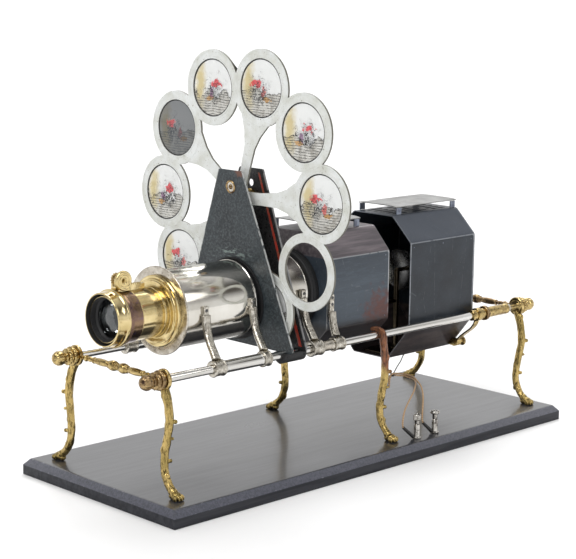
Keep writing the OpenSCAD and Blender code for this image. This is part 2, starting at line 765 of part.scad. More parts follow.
baseboard();
end_leg(front_leg_x, -1);  // leg_front_near
end_leg(front_leg_x, 1);  // leg_front_far
middle_leg(-1);  // leg_middle_near
middle_leg(1);  // leg_middle_far
end_leg(rear_leg_x, -1);  // leg_rear_near
end_leg(rear_leg_x, 1);  // leg_rear_far
rail(-1);  // rail_near
rail(1);  // rail_far
finials();
cross_bars();
binding_post(posts[0]);  // binding_post_front
binding_post(posts[1]);  // binding_post_rear
binding_nut(posts[0]);  // binding_nut_front
binding_nut(posts[1]);  // binding_nut_rear
stage_front_plate();
stage_rear_plate();
stage_shoes();
stage_collar();
pivot_screw();
wheel_stud();
slide_wheel();
slides();
lens_tube();
lens_flange();
lens_jacket();
pinion_box();
lens_arms(-1);  // lens_arms_near
lens_arms(1);  // lens_arms_far
lens_sleeves();
objective_barrel();
lens_hood();
focus_rack();
objective_lenses();
focus_pinion();
focus_knob();
condenser_drum();
condenser_collar();
condenser_lenses();
condenser_arms(-1);  // condenser_arms_near
condenser_arms(1);  // condenser_arms_far
condenser_sleeves();
front_house();
front_house_cap();
rear_house();
rear_house_cap();
rear_panel();
house_sliders();
house_brackets();
clamp_ring(-1);  // clamp_ring_near
clamp_ring(1);  // clamp_ring_far
thumbscrew(-1);  // thumbscrew_near
thumbscrew(1);  // thumbscrew_far
lamp_stand();
lamp_bulb();
reflector();
wire(wire_a_route, wire_r);  // wire_a
wire(wire_b_route, wire_r);  // wire_b
wire(lead_route, lead_r);  // lead_wire
wire_fittings();
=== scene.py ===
import math

import bmesh
import bpy
from mathutils import Matrix, Vector, noise


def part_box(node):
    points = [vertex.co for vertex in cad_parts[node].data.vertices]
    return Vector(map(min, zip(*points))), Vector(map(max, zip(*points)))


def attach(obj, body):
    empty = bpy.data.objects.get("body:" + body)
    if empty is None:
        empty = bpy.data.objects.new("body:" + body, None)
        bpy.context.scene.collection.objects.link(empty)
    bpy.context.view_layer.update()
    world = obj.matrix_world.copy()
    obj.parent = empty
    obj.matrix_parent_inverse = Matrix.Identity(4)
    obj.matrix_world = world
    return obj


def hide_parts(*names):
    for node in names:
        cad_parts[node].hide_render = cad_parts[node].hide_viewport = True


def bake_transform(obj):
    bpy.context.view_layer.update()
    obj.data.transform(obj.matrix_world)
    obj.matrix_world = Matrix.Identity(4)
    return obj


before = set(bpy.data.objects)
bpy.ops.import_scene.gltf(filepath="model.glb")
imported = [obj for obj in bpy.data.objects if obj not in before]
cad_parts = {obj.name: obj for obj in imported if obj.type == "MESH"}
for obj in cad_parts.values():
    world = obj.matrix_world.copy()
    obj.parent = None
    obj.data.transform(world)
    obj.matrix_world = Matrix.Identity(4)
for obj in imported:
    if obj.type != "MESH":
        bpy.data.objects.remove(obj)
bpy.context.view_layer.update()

MM = 0.001
TURN = 2 * math.pi
SIDES = {"near": -1, "far": 1}
OUTWARD = {-1: "-y", 1: "+y"}


# ---------------------------------------- places from the frame, in millimetres

def low(node):
    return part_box(node)[0] / MM


def high(node):
    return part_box(node)[1] / MM


def middle(node):
    return (low(node) + high(node)) / 2


AXIS_Z = middle("lens_tube").z
RAIL_Y = middle("rail_far").y
RAIL_Z = middle("rail_far").z
RAIL_R = (high("rail_far").z - low("rail_far").z) / 2
BOARD_TOP = high("baseboard").z
SPIGOT = 15.5
FRONT_LEG_X = low("rail_near").x + SPIGOT
REAR_LEG_X = high("rail_near").x - SPIGOT
DISC_R = 13.5
DISC_THICK = 7.0
PAW_REACH = 12.4
WHEEL = middle("slide_wheel")
WHEEL_RING_R = 50.0
WHEEL_ARM = ((high("slide_wheel").y - low("slide_wheel").y - 2 * WHEEL_RING_R) / 2
             / math.sin(math.radians(87.3)))
WHEEL_TURN = 15.3
RAIL_BORE = 5.55
KNOB_X, KNOB_Z = -342, 276
BULB_X, LAMP_POST_X = 135, 172
PLATE_SLOPE = 0.3739


# ---------------------------------------- camera

AZIMUTH = -44.31
ELEVATION = 10.45
ROLL = 0.63
DISTANCE = 2.36
AIM = Vector((0.0059, 0.0550, 0.2262))


def toward(azimuth, elevation):
    """The direction from the object to a viewpoint or a light; azimuth 0 looks along +Y."""
    a, e = math.radians(azimuth), math.radians(elevation)
    return Vector((math.sin(a) * math.cos(e), -math.cos(a) * math.cos(e), math.sin(e)))


def linked(name, data):
    """A new object in the scene."""
    obj = bpy.data.objects.new(name, data)
    bpy.context.scene.collection.objects.link(obj)
    return obj


def make_camera():
    back = toward(AZIMUTH, ELEVATION)
    a, roll = math.radians(AZIMUTH), math.radians(ROLL)
    right = Vector((math.cos(a), math.sin(a), 0))
    up = back.cross(right)
    right, up = (right * math.cos(roll) + up * math.sin(roll),
                 up * math.cos(roll) - right * math.sin(roll))
    data = bpy.data.cameras.new("camera")
    data.lens = 105.15
    data.sensor_width = 36
    data.clip_end = 50
    camera = linked("camera", data)
    camera.matrix_world = (Matrix.Translation(AIM + back * DISTANCE)
                           @ Matrix((right, up, back)).transposed().to_4x4())
    bpy.context.scene.camera = camera


make_camera()


# ---------------------------------------- shapes, all in millimetres

def rounded(points, radius, steps=3, closed=False):
    """The same outline with each corner cut back and curved."""
    out = []
    for i, p in enumerate(points):
        if not closed and i in (0, len(points) - 1):
            out.append(tuple(p))
            continue
        before, here, after = (Vector(points[i - 1]), Vector(p),
                               Vector(points[(i + 1) % len(points)]))
        cut = min(radius, 0.45 * (before - here).length, 0.45 * (after - here).length)
        start = here + (before - here).normalized() * cut
        end = here + (after - here).normalized() * cut
        for k in range(steps + 1):
            t = k / steps
            out.append(tuple(start * (1 - t) ** 2 + here * 2 * t * (1 - t) + end * t * t))
    return out


def curve(points, steps):
    """A smooth line through the given points."""
    p = [Vector(v) for v in points]
    out = []
    for i in range(len(p) - 1):
        a, b, c, d = p[max(i - 1, 0)], p[i], p[i + 1], p[min(i + 2, len(p) - 1)]
        for k in range(steps):
            t = k / steps
            out.append(0.5 * (2 * b + (c - a) * t + (2 * a - 5 * b + 4 * c - d) * t * t
                              + (3 * b - a - 3 * c + d) * t ** 3))
    return out + [p[-1]]


def bead(at, length, low_r, high_r, steps=10):
    """Points of a half-round bead on a turned outline, as (radius, distance)."""
    return [(low_r + (high_r - low_r) * math.sin(math.pi * i / steps),
             at + length * (1 - math.cos(math.pi * i / steps)) / 2) for i in range(steps + 1)]


TO_AXIS = {"+x": Matrix.Rotation(math.pi / 2, 4, "Y"), "-x": Matrix.Rotation(-math.pi / 2, 4, "Y"),
           "+y": Matrix.Rotation(-math.pi / 2, 4, "X"), "-y": Matrix.Rotation(math.pi / 2, 4, "X"),
           "+z": Matrix.Identity(4), "-z": Matrix.Rotation(math.pi, 4, "X"), }


def at(axis, x, y, z):
    """Places a shape whose own axis is +Z at a point, along a row axis."""
    return Matrix.Translation((x, y, z)) @ TO_AXIS[axis]


def bridge(bm, rings, closed=True):
    """Faces between each row of points and the next."""
    for one, two in zip(rings, rings[1:]):
        count = len(one)
        for k in range(count if closed else count - 1):
            bm.faces.new((one[k], one[(k + 1) % count], two[(k + 1) % count], two[k]))


def on_rail(x, side, axis="+x"):
    return at(axis, x, side * RAIL_Y, RAIL_Z)


def on_axis(x):
    return at("+x", x, 0, AXIS_Z)


def pointing(where, direction):
    """Places a shape whose own axis is +Z at a point, along any direction."""
    return Matrix.Translation(where) @ direction.to_track_quat("Z", "Y").to_matrix().to_4x4()


def lathe(bm, outline, place, steps=96, loop=False, shape=None):
    """Turns an outline of (radius, distance) points; shape gives a factor on the radius."""
    rings = []
    for r, d in outline:
        ring = []
        for k in range(steps):
            a = TURN * k / steps
            radius = r * (shape(r, d, a) if shape else 1)
            ring.append(bm.verts.new(place @ Vector((radius * math.cos(a), radius * math.sin(a),
                                                     d))))
        rings.append(ring)
    bridge(bm, rings + rings[:1] if loop else rings)
    return bm


def spin(outline, place, soft=0.3, steps=72, loop=True, shape=None):
    """A new turned mesh, with softened corners."""
    return lathe(bmesh.new(), rounded(outline, soft, 2, loop), place, steps, loop, shape)


def tube(bm, path, radius, sides=20, shape=None, squash=1.0, start_side=(0.31, 0.2, 0.93)):
    """Sweeps a round along a path; radius is a number or a list, shape a factor on it."""
    path = [Vector(p) for p in path]
    count = len(path)
    side = Vector(start_side)
    rings = []
    for i, p in enumerate(path):
        tangent = (path[min(i + 1, count - 1)] - path[max(i - 1, 0)]).normalized()
        side = (side - tangent * side.dot(tangent)).normalized()
        other = tangent.cross(side)
        r = radius[i] if isinstance(radius, (list, tuple)) else radius
        ring = []
        for k in range(sides):
            a = TURN * k / sides
            f = shape(i / (count - 1), a, p) if shape else 1
            ring.append(bm.verts.new(
                p + (side * math.cos(a) + other * math.sin(a) * squash) * r * f))
        rings.append(ring)
    bridge(bm, rings)
    bm.faces.new(rings[0][::-1])
    bm.faces.new(rings[-1])
    return bm


def ball(bm, centre, size, turn=Matrix.Identity(4)):
    """An ellipsoid, for the rounded parts of castings."""
    matrix = Matrix.Translation(centre) @ turn @ Matrix.Diagonal((*size, 1))
    bmesh.ops.create_uvsphere(bm, u_segments=32, v_segments=16, radius=1, matrix=matrix)
    return bm


def block(bm, low_corner, high_corner, edge=0.4):
    """A box with its edges rounded."""
    part = bmesh.new()
    a, b = Vector(low_corner), Vector(high_corner)
    matrix = Matrix.Translation((a + b) / 2) @ Matrix.Diagonal((*(b - a), 1))
    bmesh.ops.create_cube(part, size=1, matrix=matrix)
    bmesh.ops.bevel(part, geom=part.edges, offset=edge, segments=2, affect="EDGES", profile=0.6)
    return join(bm, part)


def as_mesh(bm, name="part"):
    mesh = bpy.data.meshes.new(name)
    bm.to_mesh(mesh)
    bm.free()
    return mesh


def join(bm, part, matrix=None):
    """Adds one mesh to another and frees it."""
    if matrix is not None:
        bmesh.ops.transform(part, matrix=matrix, verts=part.verts)
    mesh = as_mesh(part)
    bm.from_mesh(mesh)
    bpy.data.meshes.remove(mesh)
    return bm


def plate(bm, outlines, thick, place, edge=0.3):
    """A flat sheet from outlines in its own (x, y), holes after the outside, with rounded edges."""
    flat = bpy.data.curves.new("plate", "CURVE")
    flat.dimensions = "2D"
    flat.fill_mode = "BOTH"
    flat.extrude = thick / 2 - edge
    flat.bevel_depth = edge
    flat.bevel_resolution = 1
    flat.offset = -edge
    for outline in outlines:
        spline = flat.splines.new("POLY")
        spline.points.add(len(outline) - 1)
        for point, (x, y) in zip(spline.points, outline):
            point.co = (x, y, 0, 1)
        spline.use_cyclic_u = True
    holder = bpy.data.objects.new("plate", flat)
    mesh = bpy.data.meshes.new_from_object(holder)
    mesh.transform(place)
    bm.from_mesh(mesh)
    bpy.data.objects.remove(holder)
    bpy.data.curves.remove(flat)
    bpy.data.meshes.remove(mesh)
    return bm


def circle(x, y, r, steps=96):
    return [(x + r * math.cos(TURN * k / steps), y + r * math.sin(TURN * k / steps))
            for k in range(steps)]


ACROSS_X = Matrix(((0, 0, 1, 0), (1, 0, 0, 0), (0, 1, 0, 0), (0, 0, 0, 1)))


def facing_x(x):
    """Places a plate drawn in (y, z) across the X axis."""
    return Matrix.Translation((x, 0, 0)) @ ACROSS_X


def with_modifiers(obj):
    """The mesh that an object's modifiers make."""
    return bpy.data.meshes.new_from_object(obj.evaluated_get(bpy.context.evaluated_depsgraph_get()))


def taken_back(holders, result):
    """The result as an editable mesh, with everything used to make it removed."""
    out = bmesh.new()
    out.from_mesh(result)
    for mesh in [holder.data for holder in holders] + [result]:
        bpy.data.meshes.remove(mesh)
    return out


def remeshed(bm, voxel, smooth=3):
    """One skin around everything in bm, softly rounded."""
    holder = linked("skin", as_mesh(bm, "skin"))
    modifier = holder.modifiers.new("skin", "REMESH")
    modifier.mode = "VOXEL"
    modifier.voxel_size = voxel
    relax = holder.modifiers.new("relax", "SMOOTH")
    relax.factor = 0.5
    relax.iterations = smooth
    return taken_back([holder], with_modifiers(holder))


def cut(bm, cutter):
    """Takes one closed mesh away from another."""
    holders = []
    for part in (bm, cutter):
        bmesh.ops.recalc_face_normals(part, faces=part.faces)
        holders.append(linked("part", as_mesh(part)))
    modifier = holders[0].modifiers.new("cut", "BOOLEAN")
    modifier.operation = "DIFFERENCE"
    modifier.solver = "EXACT"
    modifier.object = holders[1]
    return taken_back(holders, with_modifiers(holders[0]))


def piece(name, bm, material, body, replaces=(), angle=35, bevel=0.0):
    """Turns a mesh in millimetres into a piece that rides on a body."""
    bmesh.ops.remove_doubles(bm, verts=bm.verts, dist=0.001)
    bmesh.ops.dissolve_degenerate(bm, edges=bm.edges, dist=0.0005)
    bmesh.ops.recalc_face_normals(bm, faces=bm.faces)
    mesh = as_mesh(bm, name)
    mesh.transform(Matrix.Scale(MM, 4))
    obj = linked(name, mesh)
    if bevel:
        modifier = obj.modifiers.new("edges", "BEVEL")
        modifier.width = bevel * MM
        modifier.segments = 2
        modifier.limit_method = "ANGLE"
        modifier.angle_limit = math.radians(28)
        rounder = with_modifiers(obj)
        obj.modifiers.clear()
        obj.data = rounder
        bpy.data.meshes.remove(mesh)
        rounder.name = name
        mesh = rounder
    mesh.materials.clear()
    mesh.materials.append(material)
    mesh.shade_smooth()
    mesh.set_sharp_from_angle(angle=math.radians(angle))
    if body:
        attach(obj, body)
    if replaces:
        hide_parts(*replaces)
    return obj


def keep_node(node, material):
    """A CAD node whose shape is right as it is, with its own finish."""
    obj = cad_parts[node]
    for i in range(max(1, len(obj.material_slots))):
        if not obj.material_slots:
            obj.data.materials.append(material)
        obj.material_slots[i].link = "OBJECT"
        obj.material_slots[i].material = material
    return obj


# ---------------------------------------- materials

EVEN = (1, 1, 1)


class Nodes:
    """Short ways to build a node tree."""

    def __init__(self, tree):
        self.tree = tree

    def node(self, kind, **settings):
        node = self.tree.nodes.new(kind)
        for key, value in settings.items():
            setattr(node, key, value)
        return node

    def put(self, socket, value):
        if isinstance(value, bpy.types.NodeSocket):
            self.tree.links.new(value, socket)
        elif isinstance(value,
                        (tuple, list)) and len(value) == 3 and len(socket.default_value) == 4:
            socket.default_value = (*value, 1)
        else:
            socket.default_value = value

    def span(self, value, start, end, low_out=0.0, high_out=1.0):
        """Maps start..end to low_out..high_out and holds it there."""
        node = self.node("ShaderNodeMapRange")
        self.put(node.inputs["Value"], value)
        for key, v in (("From Min", start), ("From Max", end), ("To Min", low_out),
                       ("To Max", high_out)):
            node.inputs[key].default_value = v
        return node.outputs["Result"]

    def math(self, operation, a, b=0.0):
        node = self.node("ShaderNodeMath", operation=operation)
        self.put(node.inputs[0], a)
        self.put(node.inputs[1], b)
        return node.outputs[0]

    def times(self, a, b):
        return self.math("MULTIPLY", a, b)

    def plus(self, a, b):
        return self.math("ADD", a, b)

    def minus(self, a, b):
        return self.math("SUBTRACT", a, b)

    def most(self, a, b):
        return self.math("MAXIMUM", a, b)

    def size_of(self, a):
        return self.math("ABSOLUTE", a)

    def vector(self, operation, a, b, output="Vector"):
        node = self.node("ShaderNodeVectorMath", operation=operation)
        self.put(node.inputs[0], a)
        if b is not None:
            node.inputs[1].default_value = b
        return node.outputs[output]

    def mix(self, share, a, b):
        node = self.node("ShaderNodeMix", data_type="RGBA")
        for socket, value in ((node.inputs["Factor"], share), (node.inputs[6], a),
                              (node.inputs[7], b)):
            self.put(socket, value)
        return node.outputs[2]

    def over(self, colour, mask, share, tint):
        """The tint laid over the colour where the mask is high."""
        return self.mix(self.times(mask, share), colour, tint)

    def tones(self, value, start, end, a, b):
        """Colour a at start, going over to b at end."""
        return self.mix(self.span(value, start, end), a, b)

    def split(self, vector, axis):
        node = self.node("ShaderNodeSeparateXYZ")
        self.put(node.inputs[0], vector)
        return node.outputs["XYZ".index(axis)]


class Look(Nodes):
    """Builds one procedural material around a Principled shader."""

    def __init__(self, name, **values):
        self.material = bpy.data.materials.new(name)
        self.material.use_nodes = True
        super().__init__(self.material.node_tree)
        self.shader = next(n for n in self.tree.nodes if n.type == "BSDF_PRINCIPLED")
        self.place = self.node("ShaderNodeTexCoord").outputs["Object"]
        for key, value in values.items():
            self.set(key.replace("_", " ").title().replace("Ior", "IOR"), value)

    def set(self, name, value):
        self.put(self.shader.inputs[name], value)
        return self

    def gloss(self, clouds, low_out, high_out):
        """Roughness that follows the clouds between two values."""
        return self.set("Roughness", self.span(clouds, 0.3, 0.7, low_out, high_out))

    def texture(self, kind, scale, stretch, offset, **settings):
        mapping = self.node("ShaderNodeMapping")
        self.put(mapping.inputs["Vector"], self.place)
        mapping.inputs["Scale"].default_value = stretch
        mapping.inputs["Location"].default_value = offset
        node = self.node(kind, **settings)
        self.put(node.inputs["Vector"], mapping.outputs["Vector"])
        node.inputs["Scale"].default_value = scale
        return node

    def noise(self, size, detail=4, stretch=EVEN, offset=(0, 0, 0), roughness=0.55, warp=0.0):
        """Cloudy noise; size is the width of a blob in millimetres."""
        node = self.texture("ShaderNodeTexNoise", 1 / MM / size, stretch, offset)
        node.inputs["Detail"].default_value = detail
        node.inputs["Roughness"].default_value = roughness
        node.inputs["Distortion"].default_value = warp
        return node.outputs["Fac"]

    def cells(self, size, stretch, offset):
        """Near zero along the borders of cells of this size in millimetres."""
        node = self.texture("ShaderNodeTexVoronoi", 1 / MM / size, stretch, offset,
                            feature="DISTANCE_TO_EDGE")
        return node.outputs["Distance"]

    def braid(self, size, warp):
        """Slanting bands, this far apart in millimetres."""
        node = self.texture("ShaderNodeTexWave", 0.31 / MM / size, EVEN, (0, 0, 0),
                            bands_direction="DIAGONAL")
        node.inputs["Distortion"].default_value = warp
        node.inputs["Detail"].default_value = 3
        return node.outputs["Fac"]

    def spot(self, centre, size, soft=0.5, ragged=0.4, grain=12):
        """A ragged patch around a point; centre and size in millimetres."""
        shift = self.vector("SUBTRACT", self.place, Vector(centre) * MM)
        length = self.vector("LENGTH", self.vector("DIVIDE", shift, Vector(size) * MM), None,
                             "Value")
        rough = self.span(self.noise(grain, 5), 0.3, 0.7, -ragged, ragged)
        return self.span(self.plus(length, rough), 1 + soft, 1 - soft)

    def part(self, axis):
        """One coordinate, in millimetres."""
        return self.times(self.split(self.place, axis), 1000.0)

    def normal(self, axis):
        """How much the surface faces along an axis."""
        return self.split(self.node("ShaderNodeNewGeometry").outputs["Normal"], axis)

    def edge(self):
        """How near a fold or rim is, kept on the mesh as a number per point."""
        return self.node("ShaderNodeAttribute", attribute_name="edge").outputs["Fac"]

    def wear(self):
        """High on worn outer edges of dense castings."""
        return self.span(self.node("ShaderNodeNewGeometry").outputs["Pointiness"], 0.53, 0.6)

    def bump(self, height, depth):
        """Depth in millimetres."""
        node = self.node("ShaderNodeBump")
        node.inputs["Distance"].default_value = depth * MM
        node.inputs["Strength"].default_value = 1.0
        self.put(node.inputs["Height"], height)
        if self.shader.inputs["Normal"].is_linked:
            self.put(node.inputs["Normal"], self.shader.inputs["Normal"].links[0].from_socket)
        self.put(self.shader.inputs["Normal"], node.outputs["Normal"])
        return self


def metal(name, light, dark, rough=(0.15, 0.35), blotch=25, fine=1.2, stain=None,
          stain_share=(0.55, 0.72), bump=0.02, stretch=EVEN):
    """Plain worked metal: two tones in blotches, varied gloss, fine marks and an optional stain."""
    look = Look(name, metallic=1.0)
    clouds = look.noise(blotch, 5, stretch)
    colour = look.tones(clouds, 0.35, 0.65, light, dark)
    if stain:
        patches = look.span(look.noise(blotch * 0.6, 7, stretch, (3.1, 7.7, 1.9), 0.65),
                            *stain_share)
        colour = look.mix(patches, colour, stain)
    look.set("Base Color", colour)
    marks = look.noise(fine, 3, stretch, (5, 1, 2))
    mixed = look.plus(look.times(clouds, 0.6), look.times(marks, 0.4))
    look.set("Roughness", look.span(mixed, 0.35, 0.65, *rough))
    return look.bump(marks, bump).material


def cast_brass(name, rust_from=None):
    """Gilt bark casting, dark in its hollows; above rust_from it goes rust-brown."""
    look = Look(name, metallic=1.0)
    clouds = look.noise(16, 5, (1, 1, 0.4))
    gold = look.tones(clouds, 0.38, 0.62, (0.62, 0.45, 0.17), (0.33, 0.245, 0.085))
    bark = look.noise(2.6, 6, (1, 1, 0.28), (4, 2, 1), 0.65, 0.6)
    colour = look.tones(bark, 0.5, 0.36, gold, (0.075, 0.055, 0.02))
    colour = look.mix(look.wear(), colour, (0.85, 0.66, 0.32))
    if rust_from:
        height = look.plus(look.part("Z"), look.span(clouds, 0.3, 0.7, -14, 14))
        rusty = look.span(height, rust_from - 8, rust_from + 10)
        brown = look.tones(bark, 0.4, 0.6, (0.07, 0.028, 0.014), (0.3, 0.12, 0.055))
        colour = look.mix(rusty, colour, brown)
        look.set("Metallic", look.span(rusty, 0, 1, 1, 0.35))
    look.set("Base Color", colour)
    look.gloss(bark, 0.4, 0.17)
    look.bump(bark, 0.5)
    return look.bump(look.noise(0.7, 3), 0.08).material


def painted(name, light, dark, rough=(0.3, 0.5), bare=(0.42, 0.43, 0.44), streak=EVEN, specks=0.66):
    """Old black paint on sheet metal: cloudy, scratched, bare along folds and rims."""
    look = Look(name)
    clouds = look.noise(60, 6, streak, (1.3, 0.2, 0.7), 0.6)
    colour = look.tones(clouds, 0.32, 0.68, dark, light)
    fine = look.noise(3.5, 6, streak, (6, 2, 4), 0.7)
    colour = look.mix(look.span(fine, 0.5, 0.8, 0, 0.45), colour, [min(1, c * 1.8) for c in light])
    scratches = look.span(look.cells(38, (1, 1, 0.35), (2, 5, 1)), 0.012, 0.004)
    broken = look.span(look.noise(9, 3, EVEN, (7, 7, 7)), 0.52, 0.6)
    chips = look.span(look.noise(2.2, 2, EVEN, (9, 4, 2)), specks, specks + 0.05)
    edge = look.times(look.span(look.edge(), 0.5, 0.8),
                      look.span(look.noise(7, 4, EVEN, (2, 8, 5)), 0.26, 0.44))
    marks = look.most(look.times(scratches, look.times(broken, 0.12)), look.times(chips, 0.35))
    marks = look.most(marks, edge)
    look.colour = look.mix(marks, colour, bare)
    look.set("Base Color", look.colour)
    look.set("Metallic", look.times(marks, 0.8))
    look.gloss(fine, *rough)
    look.set("Specular IOR Level", 0.4)
    look.bump(look.minus(fine, marks), 0.03)
    return look


def plate_rim(look, reach, grain, start, end):
    """Ragged bare metal along the sloping edges of the stage plates."""
    slope = look.plus(look.size_of(look.part("Y")), look.times(look.part("Z"), PLATE_SLOPE))
    return look.times(look.span(slope, reach, reach + 1),
                      look.span(look.noise(grain, 4), start, end))


# ---------------------------------------- finishes

def black_wood():
    """Dark and glossy on top, with the bevel painted paler as a painted sheen, matt at the sides.
    """
    look = Look("black_wood", coat_roughness=0.12)
    grain = look.noise(7, 7, (0.05, 1, 1), (1, 2, 3), 0.65, 0.4)
    chip = look.times(look.edge(), look.span(look.noise(5, 3), 0.62, 0.68))
    up = look.normal("Z")
    look.set("Specular IOR Level", look.span(up, 0.05, 0.5, 0.12, 0.5))
    look.set("Coat Weight", look.span(up, 0.05, 0.5, 0.02, 0.55))
    bevel = look.times(look.span(up, 0.1, 0.3), look.span(up, 0.97, 0.9))
    colour = look.tones(grain, 0.4, 0.62, (0.022, 0.023, 0.028), (0.042, 0.043, 0.050))
    # worn here is a painted sheen: the bevel is painted paler and bluer for the light a glossy
    # bevel catches, mottled
    worn = look.tones(look.noise(3, 6, EVEN, (3, 3, 1), 0.7), 0.4, 0.6, (0.045, 0.048, 0.064),
                      (0.095, 0.098, 0.130))
    colour = look.over(colour, bevel, 0.85, worn)
    look.set("Base Color", look.mix(chip, colour, (0.15, 0.155, 0.19)))
    look.gloss(look.noise(90, 5, (0.35, 1, 1), (4, 1, 2)), 0.27, 0.38)
    return look.bump(grain, 0.06).bump(chip, -0.3).material


def stage_slate():
    look = painted("stage_slate", (0.027, 0.036, 0.041), (0.009, 0.012, 0.015), (0.34, 0.5),
                   (0.30, 0.32, 0.34), specks=0.72)
    mottle = look.span(look.noise(3.2, 7, EVEN, (5, 3, 8), 0.75, 0.5), 0.47, 0.60)
    rust = look.spot((-153, -17, 395), (12, 7, 5), 0.35, 0.5, 5)
    green = look.times(look.spot((-149, 6, 287), (30, 30, 6), 0.5, 0.6, 9),
                       look.span(look.noise(3, 4, (1, 0.25, 1)), 0.54, 0.60))
    slate = look.over(look.colour, mottle, 0.65, (0.088, 0.106, 0.114))
    slate = look.over(slate, rust, 0.8, (0.15, 0.055, 0.03))
    slate = look.over(slate, green, 0.8, (0.22, 0.28, 0.26))
    rim = plate_rim(look, 169.6, 7, 0.36, 0.5)
    return look.set("Base Color", look.mix(rim, slate, (0.40, 0.41, 0.40))).material


def stage_black():
    look = painted("stage_black", (0.022, 0.021, 0.022), (0.008, 0.008, 0.009), (0.22, 0.4),
                   (0.28, 0.27, 0.27))
    rim = plate_rim(look, 169.4, 9, 0.34, 0.48)
    return look.set("Base Color", look.mix(rim, look.colour, (0.20, 0.20, 0.20))).material


def stripe_red():
    look = Look("stripe_red")
    look.set("Base Color", look.tones(look.noise(9, 5), 0.45, 0.6, (0.42, 0.035, 0.02),
                                      (0.20, 0.07, 0.035)))
    return look.gloss(look.noise(2, 3), 0.3, 0.55).bump(look.noise(1, 3), 0.04).material


def front_casing():
    """Blue-grey, with purple streaks on its upper panels painted paler as painted light, rusty low
    on its near side, painted shade along its bottom.
    """
    look = painted("front_casing", (0.060, 0.078, 0.100), (0.028, 0.037, 0.050), (0.3, 0.45),
                   (0.40, 0.41, 0.42), (0.12, 1, 1), 0.72)
    # purple is streaked paint made paler as painted light, for the upper panels that face up
    purple = look.tones(look.noise(7, 6, (0.08, 1, 1), (3, 1, 5)), 0.4, 0.62, (0.085, 0.068, 0.073),
                        (0.19, 0.155, 0.165))
    rust = look.mix(look.noise(3, 4, (0.3, 1, 1)), (0.14, 0.035, 0.02), (0.06, 0.022, 0.016))
    rusty = look.spot((64, -70, 194), (26, 40, 22), 0.55, 0.7, 9)
    # painted shade: the casing is darker towards its bottom, below about 185 mm, where the lower
    # panels turn down
    shade_below = look.span(look.plus(look.part("Z"), look.noise(8, 4, (0.2, 1, 1))), 190, 181)
    colour = look.over(look.colour, look.span(look.part("Z"), 276, 277), 0.8, purple)
    colour = look.over(colour, rusty, 0.85, rust)
    colour = look.over(colour, shade_below, 0.75, (0.020, 0.012, 0.010))
    return look.set("Base Color", colour).material


def rear_casing():
    """Blue-black, paler on its upper panels, brown on its lower ones."""
    look = painted("rear_casing", (0.019, 0.026, 0.036), (0.007, 0.010, 0.015), (0.28, 0.42),
                   (0.34, 0.36, 0.39), specks=0.72)
    brown = look.tones(look.noise(9, 6, (0.15, 1, 1)), 0.4, 0.6, (0.035, 0.027, 0.026),
                       (0.085, 0.062, 0.056))
    lit = look.mix(look.noise(30, 5), (0.050, 0.059, 0.078), (0.078, 0.090, 0.115))
    colour = look.over(look.colour, look.span(look.part("Z"), 281, 282), 0.6, lit)
    colour = look.over(colour, look.span(look.part("Z"), 160, 158), 0.75, brown)
    return look.set("Base Color", colour).material


def wheel_cream():
    """Old cream enamel, specked and worn, dark on the edges of the casting."""
    look = Look("wheel_cream")
    clouds = look.noise(22, 6, EVEN, (2, 4, 6))
    specks = look.span(look.noise(1.6, 3, EVEN, (8, 2, 4), 0.6), 0.655, 0.70)
    worn = look.span(look.noise(5, 6, EVEN, (1, 9, 3), 0.7), 0.62, 0.70)
    cream = look.tones(clouds, 0.35, 0.65, (0.74, 0.76, 0.75), (0.60, 0.61, 0.56))
    cream = look.mix(worn, cream, (0.36, 0.35, 0.29))
    cream = look.over(cream, specks, 0.8, (0.16, 0.09, 0.05))
    facing = look.size_of(look.normal("X"))
    look.set("Base Color", look.tones(facing, 0.5, 0.25, cream, (0.13, 0.125, 0.10)))
    look.gloss(clouds, 0.32, 0.5)
    return look.bump(look.noise(1.4, 4), 0.05).bump(worn, -0.05).material


def lens_glass():
    look = Look("lens_glass", base_color=(0.86, 0.93, 0.95), transmission_weight=1.0, ior=1.5,
                coat_weight=0.3)
    return look.set("Roughness", look.span(look.noise(18, 5), 0.4, 0.8, 0.0, 0.05)).material


def bulb_glass():
    look = Look("bulb_glass", base_color=(0.93, 0.93, 0.90), ior=1.45, transmission_weight=0.94)
    return look.gloss(look.noise(14, 5), 0.01, 0.06).bump(look.noise(1.5, 2), 0.01).material


def tan_wire():
    look = Look("tan_wire", sheen_weight=0.2)
    braid = look.braid(1.6, 1.5)
    look.set("Base Color", look.mix(braid, (0.34, 0.20, 0.10), (0.54, 0.36, 0.20)))
    return look.gloss(look.noise(3, 3), 0.55, 0.8).bump(braid, 0.12).material


def black_rubber():
    look = Look("black_rubber")
    look.set("Base Color", look.mix(look.noise(5, 4), (0.012, 0.012, 0.012), (0.045, 0.042, 0.04)))
    return look.gloss(look.noise(2, 3), 0.35, 0.6).bump(look.noise(1, 3), 0.05).material


CAST_BRASS = cast_brass("cast_brass")
RUSTY_BRASS = cast_brass("rusty_brass", rust_from=118)
TURNED_BRASS = metal("turned_brass", (0.66, 0.50, 0.22), (0.34, 0.24, 0.095), (0.14, 0.32), 7, 0.9,
                     (0.085, 0.055, 0.025), (0.52, 0.66), 0.04)
OLD_BRONZE = metal("old_bronze", (0.44, 0.31, 0.15), (0.20, 0.13, 0.07), (0.22, 0.42), 8, 0.9,
                   (0.07, 0.04, 0.03), (0.5, 0.66), 0.06)
LENS_BRASS = metal("lens_brass", (0.78, 0.64, 0.35), (0.60, 0.47, 0.22), (0.07, 0.18), 20, 0.8,
                   (0.26, 0.14, 0.05), (0.60, 0.76), 0.01)
LACQUER = metal("brown_lacquer", (0.30, 0.20, 0.11), (0.19, 0.12, 0.10), (0.14, 0.26), 14, 0.8,
                (0.15, 0.10, 0.21), (0.56, 0.7), 0.01)
NICKEL = metal("nickel", (0.74, 0.72, 0.67), (0.60, 0.57, 0.51), (0.06, 0.16), 60, 1.0,
               (0.50, 0.46, 0.38), (0.60, 0.78), 0.006)
